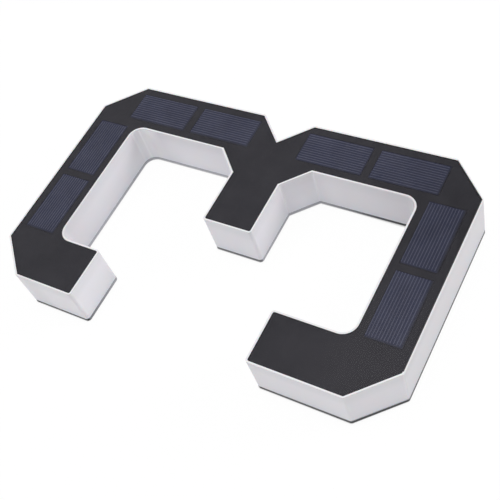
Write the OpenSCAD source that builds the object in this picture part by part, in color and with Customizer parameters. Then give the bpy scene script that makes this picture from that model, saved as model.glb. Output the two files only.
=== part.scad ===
// Solar house number light: a block style figure 3 that glows at its sides.
// It lies on its back plate, face up: X is the figure's width, Y its height, Z its depth.
// The origin is on the back of the plate, at the middle of the figure.

/* [Figure] */
// Height of the figure, along Y
figure_h = 240; // [230:1:290]
// Width of the figure, along X
figure_w = 144.4; // [138:0.2:170]
// Width of every stroke, from wall to wall
stroke_w = 30.4; // [30:0.1:34]
// Leg of the 45 degree cut on the four outer corners
corner_cut = 20.8; // [16:0.1:23]
// Leg of the 45 degree cut where the middle arm meets the spine
crotch_cut = 13.4; // [8:0.1:18]
// Length of the upper hook, from the top of the figure
upper_hook_l = 59.5; // [56:0.5:66]
// Length of the lower hook, from the foot of the figure
lower_hook_l = 72.7; // [62:0.1:80]
// Length of the middle arm, from the inner side of the spine
middle_arm_l = 46.9; // [40:0.1:60]
// Depth of the notch in the outer side of the spine
notch_cut = 15.8; // [13:0.1:17]
// Depth of the whole light, from the back of the plate to the face
depth = 28; // [28:0.5:36]
// Radius of the four round inner corners
inner_r = 7.2; // [4:0.1:10]
// Radius of the upright outer edges
edge_r = 2; // [1:0.1:3]

/* [Side wall] */
// Thickness of the opal wall
wall_t = 2.2; // [1.8:0.1:2.6]
// Width of the white rim round the face
rim_w = 1.1; // [0.8:0.1:1.5]
// Width of the shelf that carries the face, from the rim inward
shelf_w = 2.6; // [2:0.1:3.5]
// Thickness of the shelf
shelf_t = 1.6; // [1.2:0.1:2.2]
// Radius of the screw bosses on the wall and of the plate's posts below them
boss_r = 3.3; // [3:0.1:3.6]
// Diameter of the plate screws
screw_d = 2.9; // [2.5:0.1:3]
// Diameter of the plate screws' heads
screw_head_d = 5.6; // [4.8:0.1:6]
// Height of the plate screws' heads
screw_head_h = 1.4; // [1:0.1:1.5]
// Length of the plate screws, heads included
screw_l = 12; // [10:0.5:16]
// Depth of a screw's head below the back of the plate
screw_sunk = 0.1; // [0.1:0.1:0.3]

/* [Face] */
// Thickness of the black panel
panel_t = 2.1; // [1.8:0.1:3]
// Thickness of the clear film on the panel
film_t = 0.25; // [0.15:0.05:0.5]
// Gap between the panel and the rim round it
panel_gap = 0.1; // [0.05:0.05:0.3]
// Thickness of the white reflector sheet
reflector_t = 0.8; // [0.5:0.1:1.2]

/* [Solar cells] */
// Width of one cell
cell_w = 19.5; // [16:0.5:20]
// Thickness of one cell
cell_t = 0.35; // [0.25:0.05:0.5]
// Gap between the two cells of a pair
cell_gap = 4.5; // [3:0.1:6]
// Middle of the top arm's pair, along X
top_pair_x = -0.3; // [-2:0.1:2]
// Middle of the bottom arm's pair, along X
bottom_pair_x = 1.3; // [-2:0.1:2]
// How far the spine's cells start before the notch ends
cell_lead = 0.4; // [-1:0.1:1]
// Gap between the spine's cells and the cut corner
cell_trail = 1.3; // [0.5:0.1:3]
// Gap round a cell in its pocket
cell_slip = 0.1; // [0.05:0.05:0.2]
// Depth of a cell's top below the top of the panel
cell_sunk = 0.05; // [0.05:0.05:0.2]
// Distance from a cell's end to the ribbon that joins it
tab_in = 4; // [3:0.5:8]
// Width of the ribbons that link the cells
ribbon_w = 2.5; // [1.5:0.1:3]
// Thickness of the ribbons
ribbon_t = 0.2; // [0.1:0.05:0.3]

/* [Back plate] */
// Thickness of the back plate
plate_t = 2; // [1.8:0.1:3]
// Thickness of the plate's sealing rib
rib_t = 2.2; // [2:0.1:2.4]
// Height of the sealing rib above the plate
rib_h = 3.3; // [3:0.1:4]
// Width of the gasket's section
gasket_w = 1.2; // [1:0.05:1.3]
// Height of the gasket's section
gasket_h = 1.6; // [1.2:0.1:1.8]
// Distance from the figure's side to the wall studs
stud_side = 32.2; // [32:0.1:44]
// Distance from the figure's top and foot to the wall studs
stud_end = 20; // [18:0.1:21]
// Bore of the threaded inserts
stud_d = 4; // [3:0.5:4]
// Outer diameter of the threaded inserts
insert_d = 6; // [5.5:0.1:6.4]
// Length of the threaded inserts
insert_l = 8; // [6:0.5:9]
// Thickness of the plastic round and over an insert
insert_wall = 1.2; // [1:0.1:1.4]
// Height of the button's collar above the plate
collar_h = 2.5; // [2:0.1:3]
// Thickness of the button's collar
collar_t = 3.2; // [2:0.1:4]
// Radius of the control board's standoffs
standoff_r = 2.8; // [2.4:0.1:3]

/* [Battery] */
// Diameter of the battery cell
battery_d = 18.4; // [14:0.1:18.6]
// Length of the battery cell
battery_l = 65; // [49:0.5:66]
// Thickness of the holder's sides and floor
holder_t = 1.1; // [0.9:0.05:1.15]
// Thickness of the holder's end walls
holder_end_t = 2; // [1.5:0.1:2.5]
// Room for a contact at each end of the cell
contact_room = 2.5; // [2:0.1:3]
// Width and height of a contact plate
contact_w = 11; // [8:0.5:12]
// Thickness of a contact plate
contact_t = 0.5; // [0.3:0.1:0.8]
// Diameter of the plus contact's nub
plus_nub_d = 4; // [3:0.5:6]
// Diameter of the minus contact's spring
minus_spring_d = 8; // [6:0.5:8]

/* [Control board] */
// Length of the control board
board_l = 62; // [58:1:66]
// Width of the control board
board_w = 20; // [19:0.5:21]
// Thickness of every circuit board
board_t = 1.6; // [1:0.1:2]
// Diameter of the board's screws
board_screw_d = 2.2; // [2:0.1:2.5]
// Length of the board's screws, below their heads
board_screw_l = 7.6; // [6:0.2:8]
// Diameter of the board's screw heads
board_screw_head_d = 4.4; // [4:0.1:5]
// Height of the board's screw heads
board_screw_head_h = 1.6; // [1.2:0.1:2]
// Width of the sockets
socket_w = 6; // [6:0.5:8]
// Length of the sockets
socket_l = 5; // [4:0.5:6]
// Height of the sockets
socket_h = 4; // [3.5:0.1:5]
// Distance from a socket to the end of the board
socket_in = 0.5; // [0.2:0.1:1]
// Width of the charge chip
chip_w = 4; // [3:0.1:6]
// Length of the charge chip
chip_l = 5; // [3:0.1:7]
// Height of the charge chip
chip_h = 1.6; // [0.8:0.1:2.4]
// Diameter of the driver coil
coil_d = 6; // [4:0.5:8]
// Height of the driver coil
coil_h = 3; // [2:0.5:5]
// Diameter of the capacitor
can_d = 6.4; // [4:0.2:8]
// Height of the capacitor
can_h = 7; // [5:0.5:9]

/* [Lights and leads] */
// Width of the light boards
led_board_w = 10; // [9:0.5:11]
// Gap between a light board and the bosses at its ends
led_clear = 2; // [1.5:0.5:4]
// Distance between lamps on the light boards
led_pitch = 11; // [8:0.5:16]
// Width of a lamp
led_chip_w = 2.8; // [2:0.1:2.8]
// Height of a lamp
led_chip_h = 0.9; // [0.6:0.1:1.2]
// Diameter of the leads
lead_d = 1.4; // [1:0.1:1.5]
// Gap between two leads side by side
lead_gap = 0.6; // [0.4:0.1:0.8]

/* [Button] */
// Diameter of the button
button_d = 9; // [7:0.5:10]
// Travel of the button
button_travel = 0.6; // [0.3:0.1:1]
// Depth of the button's face below the back of the plate
button_recess = 0.4; // [0.2:0.1:0.8]
// Gap round the button in its hole
button_gap = 0.3; // [0.2:0.05:0.4]
// Reach of the button's flange past its sides
flange_reach = 2; // [1.5:0.1:2.5]
// Thickness of the button's flange
flange_t = 1.2; // [0.8:0.1:2]
// Depth of the seal's groove in the button
seal_w = 1.2; // [1:0.1:1.5]
// Height of the seal's groove in the button
seal_h = 1.4; // [1.2:0.1:1.8]
// Width of the switch's case
case_w = 6; // [6:0.1:8]
// Height of the switch's case
case_h = 3.5; // [3.5:0.1:5]
// Diameter of the switch's plunger
plunger_d = 3.5; // [3:0.1:3.8]
// Length of the switch's plunger
plunger_l = 2.4; // [2.2:0.1:2.6]

/* [Hidden] */

$fn = 48;

// Turn of one flat on a round corner of the outline
arc_turn = 7.5;
// Overreach of a cut past the face that it leaves by
cut = 1;
// Overlap of two shapes of one piece, so that they join
fuse = 0.4;
// Gap between two pieces that are slid or laid together
slip = 0.1;

// Halves and middle lines of the figure
half_w = figure_w / 2;
half_h = figure_h / 2;
arm_y = half_h - stroke_w / 2;
spine_x = half_w - stroke_w / 2;
spine_in = half_w - stroke_w;
arm_in = half_h - stroke_w;
middle_half = stroke_w / 2;
middle_end = spine_in - middle_arm_l;
upper_hook_y = half_h - upper_hook_l;
lower_hook_y = lower_hook_l - half_h;

// Heights of the layers, from the back
film_gap = 0.05;
panel_top = depth - film_t - film_gap;
panel_z = panel_top - panel_t;
shelf_z = panel_z - shelf_t;
reflector_top = panel_z - ribbon_t - slip;
rib_top = plate_t + rib_h;
boss_z = rib_top;

// Corners of the figure's outline, counterclockwise: x, y and the radius there
corners = [
    [-half_w + corner_cut, -half_h, edge_r],
    [half_w - corner_cut, -half_h, edge_r],
    [half_w, -half_h + corner_cut, edge_r],
    [half_w, -notch_cut, edge_r],
    [half_w - notch_cut, 0, 0],
    [half_w, notch_cut, edge_r],
    [half_w, half_h - corner_cut, edge_r],
    [half_w - corner_cut, half_h, edge_r],
    [-half_w + corner_cut, half_h, edge_r],
    [-half_w, half_h - corner_cut, edge_r],
    [-half_w, upper_hook_y, edge_r],
    [-spine_in, upper_hook_y, edge_r],
    [-spine_in, arm_in, inner_r],
    [spine_in, arm_in, inner_r],
    [spine_in, middle_half + crotch_cut, 0],
    [spine_in - crotch_cut, middle_half, 0],
    [middle_end, middle_half, edge_r],
    [middle_end, -middle_half, edge_r],
    [spine_in - crotch_cut, -middle_half, 0],
    [spine_in, -middle_half - crotch_cut, 0],
    [spine_in, -arm_in, inner_r],
    [-spine_in, -arm_in, inner_r],
    [-spine_in, lower_hook_y, edge_r],
    [-half_w, lower_hook_y, edge_r],
    [-half_w, -half_h + corner_cut, edge_r]
];

// x and y of corner i, counted round and round
function corner(i) =
    let (c = corners[(i + len(corners)) % len(corners)])
    [c[0], c[1]];
// Direction of the edge that leaves corner i
function edge(i) =
    let (run = corner(i + 1) - corner(i))
    run / norm(run);
// A direction turned a quarter left, which is inward of an edge
function left(d) = [-d[1], d[0]];

// Points of corner i on the outline moved inward by t: one sharp point, or an arc
function corner_points(i, t) =
    let (
        before = edge(i - 1),
        after = edge(i),
        in_1 = left(before),
        in_2 = left(after),
        tip = corner(i) + t * (in_1 + in_2) / (1 + in_1 * in_2),
        turn = atan2(cross(before, after), before * after),
        side = sign(turn),
        r = corners[i][2] == 0 ? 0 : max(corners[i][2] - side * t, 0),
        steps = ceil(abs(turn) / arc_turn),
        middle = tip - before * r * tan(abs(turn) / 2) + side * r * in_1,
        start = atan2(-side * in_1[1], -side * in_1[0])
    )
    r == 0 ? [tip] : [
        for (k = [0:steps])
        middle + r * [cos(start + turn * k / steps), sin(start + turn * k / steps)]
    ];

// The whole outline moved inward by t
function outline(t) = [for (i = [0:len(corners) - 1]) each corner_points(i, t)];

// A slab of the figure's shape, t inside the outline, from height z0 to z1
module slab(t, z0, z1) {
    translate([0, 0, z0])
    linear_extrude(z1 - z0)
    polygon(outline(t));
}

// A band that follows the outline, from t0 to t1 inside it
module band(t0, t1, z0, z1) {
    translate([0, 0, z0])
    linear_extrude(z1 - z0)
    difference() {
        polygon(outline(t0));
        polygon(outline(t1));
    }
}

// A box by its middle in X and Y, its size there, and its two heights
module block(x, y, w, l, z0, z1) {
    translate([x - w / 2, y - l / 2, z0])
    cube([w, l, z1 - z0]);
}

// An upright cylinder by its middle and its two heights
module post(x, y, r, z0, z1) {
    translate([x, y, z0])
    cylinder(r = r, h = z1 - z0);
}

// Screws of the back plate: each is so far from the outline that its boss grows out of the wall
screw_in = wall_t + boss_r - fuse;
// Step inward from a 45 degree wall, along X or along Y
screw_slant = screw_in / sqrt(2);
// Width of the cross in a screw's head
screw_slot_w = screw_head_d / 9;
corner_screw_x = half_w - corner_cut / 2 - screw_slant;
corner_screw_y = half_h - corner_cut / 2 - screw_slant;
notch_screw_x = half_w - notch_cut - screw_in * sqrt(2);
screw_spots = [
    [corner_screw_x, corner_screw_y],
    [corner_screw_x, -corner_screw_y],
    [-corner_screw_x, corner_screw_y],
    [-corner_screw_x, -corner_screw_y],
    [-spine_x, upper_hook_y + screw_in],
    [-spine_x, lower_hook_y - screw_in],
    [middle_end + screw_in, 0],
    [notch_screw_x, 0],
    [0, arm_in + screw_in],
    [0, -arm_in - screw_in]
];

// Opal side wall, open at the back, with the face's shelf and the screw bosses
module side_wall() {
    color("whitesmoke")
    difference() {
        union() {
            difference() {
                slab(0, plate_t, depth);
                slab(wall_t, plate_t - cut, shelf_z);
                slab(rim_w + shelf_w, shelf_z - cut, panel_z + cut);
                slab(rim_w, panel_z, depth + cut);
            }
            for (spot = screw_spots)
                post(spot[0], spot[1], boss_r, boss_z, shelf_z + fuse);
        }
        for (spot = screw_spots)
            post(spot[0], spot[1], screw_d / 2 + slip, boss_z - cut, screw_sunk + screw_l + fuse);
    }
}

// The spine's cells fill its straight run, and the arms take cells of the same length
row_near = notch_cut - cell_lead;
row_far = half_h - corner_cut - cell_trail;
cell_l = (row_far - row_near - cell_gap) / 2;
spine_pair_y = (row_near + row_far) / 2;

// The eight solar cells: middle x, middle y, and whether the cell runs along Y
pair_step = (cell_l + cell_gap) / 2;
cells = [
    [top_pair_x - pair_step, arm_y, false],
    [top_pair_x + pair_step, arm_y, false],
    [spine_x, spine_pair_y + pair_step, true],
    [spine_x, spine_pair_y - pair_step, true],
    [spine_x, -spine_pair_y + pair_step, true],
    [spine_x, -spine_pair_y - pair_step, true],
    [bottom_pair_x + pair_step, -arm_y, false],
    [bottom_pair_x - pair_step, -arm_y, false]
];
cell_z = panel_top - cell_sunk - cell_t;
// Line of the spine's ribbons, so far in that they pass the shelf at the notch
shelf_slant = (rim_w + shelf_w + slip) * sqrt(2);
spine_tab_x = half_w - notch_cut - shelf_slant - ribbon_w / 2 - slip;

// A box over cell c, larger than the cell by grow on each side
module cell_box(c, grow, z0, z1) {
    block(
        c[0], c[1],
        (c[2] ? cell_w : cell_l) + 2 * grow,
        (c[2] ? cell_l : cell_w) + 2 * grow,
        z0, z1
    );
}

// Place of a ribbon's tab under cell c: way is +1 at its first end, -1 at its last one.
// The cells are counted along the top arm, down the spine and back along the bottom arm.
function tab(i, way) =
    let (
        c = cells[i],
        reach = way * (cell_l / 2 - tab_in)
    )
    i < 2 ? [c[0] - reach, c[1]] :
    i < 6 ? [spine_tab_x, c[1] + reach] :
    [c[0] + reach, c[1]];

// Black panel that fills the rim, with a pocket for each cell
module face_panel() {
    color([0.13, 0.13, 0.15])
    difference() {
        slab(rim_w + panel_gap, panel_z, panel_top);
        for (c = cells)
            cell_box(c, cell_slip, cell_z - slip, panel_top + cut);
        for (i = [0:len(cells) - 1], way = [-1, 1])
            block(
                tab(i, way)[0], tab(i, way)[1],
                ribbon_w + 2 * slip, ribbon_w + 2 * slip,
                panel_z - cut, panel_top
            );
    }
}

// Clear film over the whole face
module front_film() {
    color([0.8, 0.85, 0.9, 0.3])
    slab(rim_w + panel_gap, depth - film_t, depth);
}

// One solar cell
module solar_cell(i) {
    color([0.16, 0.18, 0.32])
    cell_box(cells[i], 0, cell_z, cell_z + cell_t);
}

// Free ends of the row of cells
terminals = [tab(0, 1), tab(len(cells) - 1, -1)];

// Flat ribbons behind the panel, each with a tab up to a cell at both ends, and the two terminals
module cell_links() {
    color("silver")
    for (spot = terminals)
        block(spot[0], spot[1], ribbon_w, ribbon_w, lead_high - lead_d / 2, cell_z - slip);
    color("silver")
    for (i = [0:len(cells) - 2]) {
        a = tab(i, -1);
        b = tab(i + 1, 1);
        run = b - a;
        union() {
            translate([a[0], a[1], reflector_top + slip])
            rotate([0, 0, atan2(run[1], run[0])])
            translate([0, -ribbon_w / 2, 0])
            cube([norm(run), ribbon_w, ribbon_t]);
            for (end = [a, b])
                block(end[0], end[1], ribbon_w, ribbon_w, reflector_top + slip, cell_z - slip);
        }
    }
}

// White sheet under the panel, inside the shelf
module reflector() {
    color("white")
    difference() {
        slab(rim_w + shelf_w + slip, reflector_top - reflector_t, reflector_top);
        for (spot = terminals)
            block(
                spot[0], spot[1], ribbon_w + 2 * slip, ribbon_w + 2 * slip,
                reflector_top - reflector_t - cut, reflector_top + cut
            );
    }
}

// Gap between the wall and the plate's rib
rib_gap = 0.3;
rib_in = wall_t + rib_gap;
rib_inner = rib_in + rib_t;
gasket_z = plate_t + (rib_h - gasket_h) / 2;
insert_boss_r = insert_d / 2 + insert_wall;
insert_top = insert_l + insert_wall;
stud_x = half_w - stud_side;
stud_y = half_h - stud_end;
stud_spots = [for (x = [-1, 1], y = [-1, 1]) [x * stud_x, y * stud_y]];

// Control board's place, and what stands under it
board_x = spine_x;
board_y = -spine_pair_y;
collar_r = button_d / 2 + button_gap + collar_t;
collar_top = plate_t + collar_h;
flange_z = collar_top + button_gap;
flange_top = flange_z + flange_t;
case_z = flange_top + button_travel + 2 * button_gap;
board_z = case_z + case_h;
board_top = board_z + board_t;
standoff_x = board_w / 2 - standoff_r;
standoff_y = board_l / 2 - standoff_r;
standoffs = [for (x = [-1, 1], y = [-1, 1]) [board_x + x * standoff_x, board_y + y * standoff_y]];

// Battery's place in the spine
holder_l = battery_l + 2 * (holder_end_t + contact_room);
holder_w = battery_d + 2 * (holder_t + slip);
battery_z = plate_t + holder_t + slip + battery_d / 2;
battery_y = spine_pair_y;

// Dark back plate with its sealing rib, screw posts, stud bosses, standoffs and button collar
module back_plate() {
    color([0.2, 0.2, 0.22])
    difference() {
        union() {
            slab(0, 0, plate_t);
            band(rib_in, rib_inner, plate_t - fuse, rib_top);
            for (spot = screw_spots)
                intersection() {
                    post(spot[0], spot[1], boss_r, plate_t - fuse, rib_top);
                    slab(rib_in, 0, depth);
                }
            for (spot = stud_spots)
                post(spot[0], spot[1], insert_boss_r, plate_t - fuse, insert_top);
            for (spot = standoffs)
                post(spot[0], spot[1], standoff_r, plate_t - fuse, board_z);
            post(board_x, board_y, collar_r, plate_t - fuse, collar_top);
        }
        band(rib_in - cut, wall_t + gasket_w + slip, gasket_z - slip, gasket_z + gasket_h + slip);
        for (spot = screw_spots) {
            post(spot[0], spot[1], screw_d / 2 + slip, -cut, rib_top + cut);
            post(spot[0], spot[1], screw_head_d / 2 + slip, -cut, screw_sunk + screw_head_h);
        }
        for (spot = stud_spots)
            post(spot[0], spot[1], insert_d / 2, -cut, insert_l);
        for (spot = standoffs)
            post(spot[0], spot[1], board_screw_d / 2 + slip, board_top - board_screw_l - slip, board_z + cut);
        post(board_x, board_y, button_d / 2 + button_gap, -cut, collar_top + cut);
    }
}

// Rubber gasket in the rib's groove, against the wall
module gasket() {
    color([0.3, 0.3, 0.3])
    band(wall_t + slip / 2, wall_t + gasket_w, gasket_z, gasket_z + gasket_h);
}

// Threaded brass inserts for the wall studs, in blind bosses of the plate
module stud_inserts() {
    color("goldenrod")
    for (spot = stud_spots)
        difference() {
            post(spot[0], spot[1], insert_d / 2, 0, insert_l);
            post(spot[0], spot[1], stud_d / 2, -cut, insert_l + cut);
        }
}

// Plate screws, heads in the plate and shanks in the wall's bosses
module plate_screws() {
    color("dimgray")
    for (spot = screw_spots)
        difference() {
            union() {
                post(spot[0], spot[1], screw_head_d / 2, screw_sunk, screw_sunk + screw_head_h);
                post(spot[0], spot[1], screw_d / 2, screw_sunk, screw_sunk + screw_l);
            }
            for (turn = [0, 90])
                translate([spot[0], spot[1], screw_sunk])
                rotate([0, 0, turn])
                cube([screw_head_d / 2, screw_slot_w, screw_head_h], center = true);
        }
}

// Open cradle that holds the battery by its sides
module battery_holder() {
    color([0.15, 0.15, 0.15])
    difference() {
        block(spine_x, battery_y, holder_w, holder_l, plate_t, battery_z + battery_d / 2);
        translate([spine_x, battery_y + battery_l / 2 + contact_room, battery_z])
        rotate([90, 0, 0])
        cylinder(d = battery_d + 2 * slip, h = battery_l + 2 * contact_room);
        block(
            spine_x, battery_y,
            holder_w + cut, battery_l + 2 * contact_room,
            battery_z + battery_d / 6, battery_z + battery_d
        );
    }
}

// Rechargeable battery cell, its plus end up the figure
module battery_cell() {
    color("steelblue")
    translate([spine_x, battery_y + battery_l / 2, battery_z])
    rotate([90, 0, 0])
    cylinder(d = battery_d, h = battery_l);
}

// Metal plate against an end wall of the holder, with a nub or spring that meets the cell
module battery_contact(way, nub_d) {
    wall_y = battery_y + way * (battery_l / 2 + contact_room);
    translate([spine_x, wall_y - way * contact_t / 2, battery_z])
    cube([contact_w, contact_t, contact_w], center = true);
    translate([spine_x, wall_y, battery_z])
    rotate([way * 90, 0, 0])
    cylinder(d = nub_d, h = contact_room - slip);
}

module battery_contact_plus() {
    color("silver")
    battery_contact(1, plus_nub_d);
}

module battery_contact_minus() {
    color("silver")
    battery_contact(-1, minus_spring_d);
}

// Circuit board on its four standoffs
module control_board() {
    color("darkgreen")
    difference() {
        block(board_x, board_y, board_w, board_l, board_z, board_top);
        for (spot = standoffs)
            post(spot[0], spot[1], board_screw_d / 2 + slip, board_z - cut, board_top + cut);
    }
}

// Distance between the parts on the board
part_step = board_l / 6;

module charge_chip() {
    color([0.1, 0.1, 0.1])
    block(board_x, board_y + part_step, chip_w, chip_l, board_top, board_top + chip_h);
}

module driver_coil() {
    color("dimgray")
    post(board_x, board_y, coil_d / 2, board_top, board_top + coil_h);
}

module capacitor() {
    color("lightgray")
    post(board_x, board_y - part_step, can_d / 2, board_top, board_top + can_h);
}

// Sockets at the two ends of the board, for the leads
socket_y = board_l / 2 - socket_l / 2 - socket_in;
socket_z = board_top + socket_h / 2;
module wire_sockets() {
    color("ivory")
    for (way = [-1, 1])
        block(board_x, board_y + way * socket_y, socket_w, socket_l, board_top, board_top + socket_h);
}

module board_screws() {
    color("silver")
    for (spot = standoffs)
        union() {
            post(spot[0], spot[1], board_screw_d / 2, board_top - board_screw_l, board_top + fuse);
            post(spot[0], spot[1], board_screw_head_d / 2, board_top, board_top + board_screw_head_h);
        }
}

// Push switch under the board, straight over the button
module switch_case() {
    color([0.2, 0.2, 0.2])
    difference() {
        block(board_x, board_y, case_w, case_w, case_z, board_z);
        post(
            board_x, board_y, plunger_d / 2 + button_gap,
            case_z - cut, flange_top + plunger_l + button_travel + button_gap
        );
    }
}

module switch_plunger() {
    color("black")
    post(board_x, board_y, plunger_d / 2, flange_top, flange_top + plunger_l);
}

// Button in the plate's collar: its flange keeps it in, and a groove holds its seal
seal_z = (button_recess + collar_top) / 2 - seal_h / 2;
module power_button() {
    color([0.35, 0.35, 0.37])
    difference() {
        union() {
            post(board_x, board_y, button_d / 2, button_recess, flange_top);
            post(board_x, board_y, button_d / 2 + flange_reach, flange_z, flange_top);
        }
        difference() {
            post(board_x, board_y, button_d / 2 + cut, seal_z, seal_z + seal_h);
            post(board_x, board_y, button_d / 2 - seal_w, seal_z - cut, seal_z + seal_h + cut);
        }
    }
}

module button_seal() {
    color("black")
    translate([board_x, board_y, seal_z + slip / 2])
    difference() {
        cylinder(r = button_d / 2 + slip, h = seal_h - slip);
        translate([0, 0, -cut])
        cylinder(r = button_d / 2 - seal_w + slip / 2, h = seal_h + 2 * cut);
    }
}

// Light boards, stuck flat on the back plate: middle x, middle y, size along X, size along Y
arm_board_l = 2 * (stud_x - insert_boss_r - led_clear);
middle_board_x0 = middle_end + screw_in + boss_r + led_clear;
middle_board_x1 = notch_screw_x - boss_r - led_clear;
hook_board_end = stud_y - insert_boss_r - led_clear;
upper_board_y = upper_hook_y + screw_in + boss_r + led_clear;
lower_board_y = lower_hook_y - screw_in - boss_r - led_clear;
led_boards = [
    [0, arm_y, arm_board_l, led_board_w],
    [0, -arm_y, arm_board_l, led_board_w],
    [(middle_board_x0 + middle_board_x1) / 2, 0, middle_board_x1 - middle_board_x0, led_board_w],
    [-spine_x, (upper_board_y + hook_board_end) / 2, led_board_w, hook_board_end - upper_board_y],
    [-spine_x, (lower_board_y - hook_board_end) / 2, led_board_w, hook_board_end + lower_board_y]
];
led_top = plate_t + board_t;

module led_board(i) {
    color("white")
    block(led_boards[i][0], led_boards[i][1], led_boards[i][2], led_boards[i][3], plate_t, led_top);
}

// Lamps along the middle of every light board, as many as fit at their pitch
module led_chips() {
    color("gold")
    for (b = led_boards) {
        along = max(b[2], b[3]);
        count = floor((along - 2 * led_chip_w) / led_pitch);
        for (k = [0:count]) {
            shift = (k - count / 2) * led_pitch;
            block(
                b[0] + (b[2] > b[3] ? shift : 0),
                b[1] + (b[2] > b[3] ? 0 : shift),
                led_chip_w, led_chip_w, led_top, led_top + led_chip_h
            );
        }
    }
}

// A lead is one closed tube round its route. No leg of a route stands upright.
lead_sides = 8;
function lead_ring(route, k) =
    let (
        run = route[min(k + 1, len(route) - 1)] - route[max(k - 1, 0)],
        way = run / norm(run),
        across = cross([0, 0, 1], way) / norm(cross([0, 0, 1], way)),
        up = cross(way, across)
    )
    [
        for (s = [0:lead_sides - 1])
        route[k] + lead_d / 2 * (across * cos(360 * s / lead_sides) + up * sin(360 * s / lead_sides))
    ];
module lead(route) {
    last = len(route) - 1;
    points = [for (k = [0:last]) each lead_ring(route, k)];
    sides = [
        for (k = [0:last - 1], s = [0:lead_sides - 1])
        let (
            a = k * lead_sides + s,
            b = k * lead_sides + (s + 1) % lead_sides
        )
        [a, a + lead_sides, b + lead_sides, b]
    ];
    first_cap = [for (s = [0:lead_sides - 1]) s];
    last_cap = [for (s = [lead_sides - 1:-1:0]) last * lead_sides + s];
    polyhedron(points, concat([first_cap], sides, [last_cap]));
}

// Heights and lines that the leads keep to
lead_step = lead_d + lead_gap;
lead_low = led_top + lead_d / 2;
lead_rise = lead_low + 2 * lead_d;
lead_over = insert_top + 2 * lead_d;
lead_high = reflector_top - reflector_t - lead_d;
lead_side = led_board_w / 2 - lead_step;
neck_x = notch_screw_x - boss_r - lead_d;
socket_top_y = board_y + socket_y + socket_l / 2 + slip;
socket_foot_y = board_y - socket_y - socket_l / 2 - slip;
stud_in_x = stud_x - insert_boss_r - lead_step;
board_end_x = arm_board_l / 2 - lead_step;
holder_foot_y = battery_y - holder_l / 2 - slip;
holder_top_y = battery_y + holder_l / 2 + slip;
over_battery_x = spine_x - 3 * lead_step;

// Lead from an arm's light board to its hook's one: way is +1 at the top, -1 at the foot
module hook_lead(way) {
    lead([
        [-board_end_x, way * (arm_y + lead_side), lead_low],
        [-stud_in_x, way * (arm_y + lead_side), lead_rise],
        [-stud_x + lead_d, way * (stud_y + lead_d), lead_over],
        [-stud_x - 2 * lead_d, way * (stud_y - lead_d), lead_over],
        [-spine_x - lead_side, way * (hook_board_end + lead_d), lead_rise],
        [-spine_x - lead_side, way * (hook_board_end - 2 * lead_step), lead_low]
    ]);
}

// Leads that feed the light boards, one after the other
module led_leads() {
    color("gainsboro") {
        hook_lead(1);
        hook_lead(-1);
        lead([
            [board_x - lead_step, socket_foot_y, socket_z],
            [board_x - lead_step, socket_foot_y - 2 * lead_d, socket_z],
            [stud_x - lead_d, -stud_y - lead_d, lead_over],
            [stud_in_x, -arm_y - lead_side, lead_rise],
            [board_end_x, -arm_y - lead_side, lead_low]
        ]);
        lead([
            [board_x - lead_step, socket_top_y, socket_z],
            [board_x - lead_step, socket_top_y + 2 * lead_d, socket_z],
            [neck_x, -middle_half, lead_over],
            [middle_board_x1, -led_board_w / 2, lead_rise],
            [middle_board_x1 - 2 * lead_step, -lead_side, lead_low]
        ]);
        lead([
            [middle_board_x1 - 2 * lead_step, lead_side, lead_low],
            [middle_board_x1, led_board_w / 2, lead_rise],
            [neck_x, middle_half, battery_z],
            [over_battery_x, holder_foot_y, lead_high],
            [over_battery_x, holder_top_y, lead_high],
            [stud_x - lead_d, stud_y + lead_d, lead_over],
            [stud_in_x, arm_y + lead_side, lead_rise],
            [board_end_x, arm_y + lead_side, lead_low]
        ]);
    }
}

// Leads from the ends of the battery holder to the board
module battery_leads() {
    color("firebrick") {
        lead([
            [spine_x, holder_foot_y, battery_z],
            [spine_x, holder_foot_y - lead_d, battery_z],
            [neck_x, 2 * lead_d, socket_z],
            [neck_x, -2 * lead_d, socket_z],
            [board_x + lead_step, socket_top_y + 2 * lead_d, socket_z],
            [board_x + lead_step, socket_top_y, socket_z]
        ]);
        lead([
            [spine_x + lead_step, holder_top_y, battery_z],
            [spine_x + lead_step, holder_top_y + lead_d, battery_z],
            [spine_x + 2 * lead_step, holder_top_y + 2 * lead_d, battery_z + 2 * lead_d],
            [spine_x + 3 * lead_step, holder_top_y, lead_high],
            [spine_x + 3 * lead_step, holder_foot_y, lead_high],
            [neck_x - lead_step, 2 * lead_d, socket_z + 2 * lead_step],
            [neck_x - lead_step, -2 * lead_d, socket_z + 2 * lead_step],
            [board_x, socket_top_y + 2 * lead_d, socket_z],
            [board_x, socket_top_y, socket_z]
        ]);
    }
}

// Leads from the two ends of the row of cells to the board, under the reflector
module panel_leads() {
    color("black") {
        lead([
            [terminals[0][0] + ribbon_w / 2 + slip, arm_y, lead_high],
            [spine_in, arm_y, lead_high],
            [spine_x, arm_in, lead_high],
            [spine_x, holder_foot_y, lead_high],
            [neck_x - 2 * lead_step, 2 * lead_d, lead_high],
            [neck_x - 2 * lead_step, -2 * lead_d, lead_high],
            [board_x - lead_step / 2, socket_top_y + 4 * lead_d, socket_z + 2 * lead_step],
            [board_x - lead_step / 2, socket_top_y - socket_l / 2, board_top + socket_h + lead_d / 2 + slip]
        ]);
        lead([
            [terminals[1][0] + ribbon_w / 2 + slip, -arm_y, lead_high],
            [spine_in, -arm_y, lead_high],
            [board_x + lead_step, -arm_in - lead_step, socket_z + lead_step],
            [board_x + lead_step, socket_foot_y - lead_d, socket_z],
            [board_x + lead_step, socket_foot_y, socket_z]
        ]);
    }
}

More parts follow.
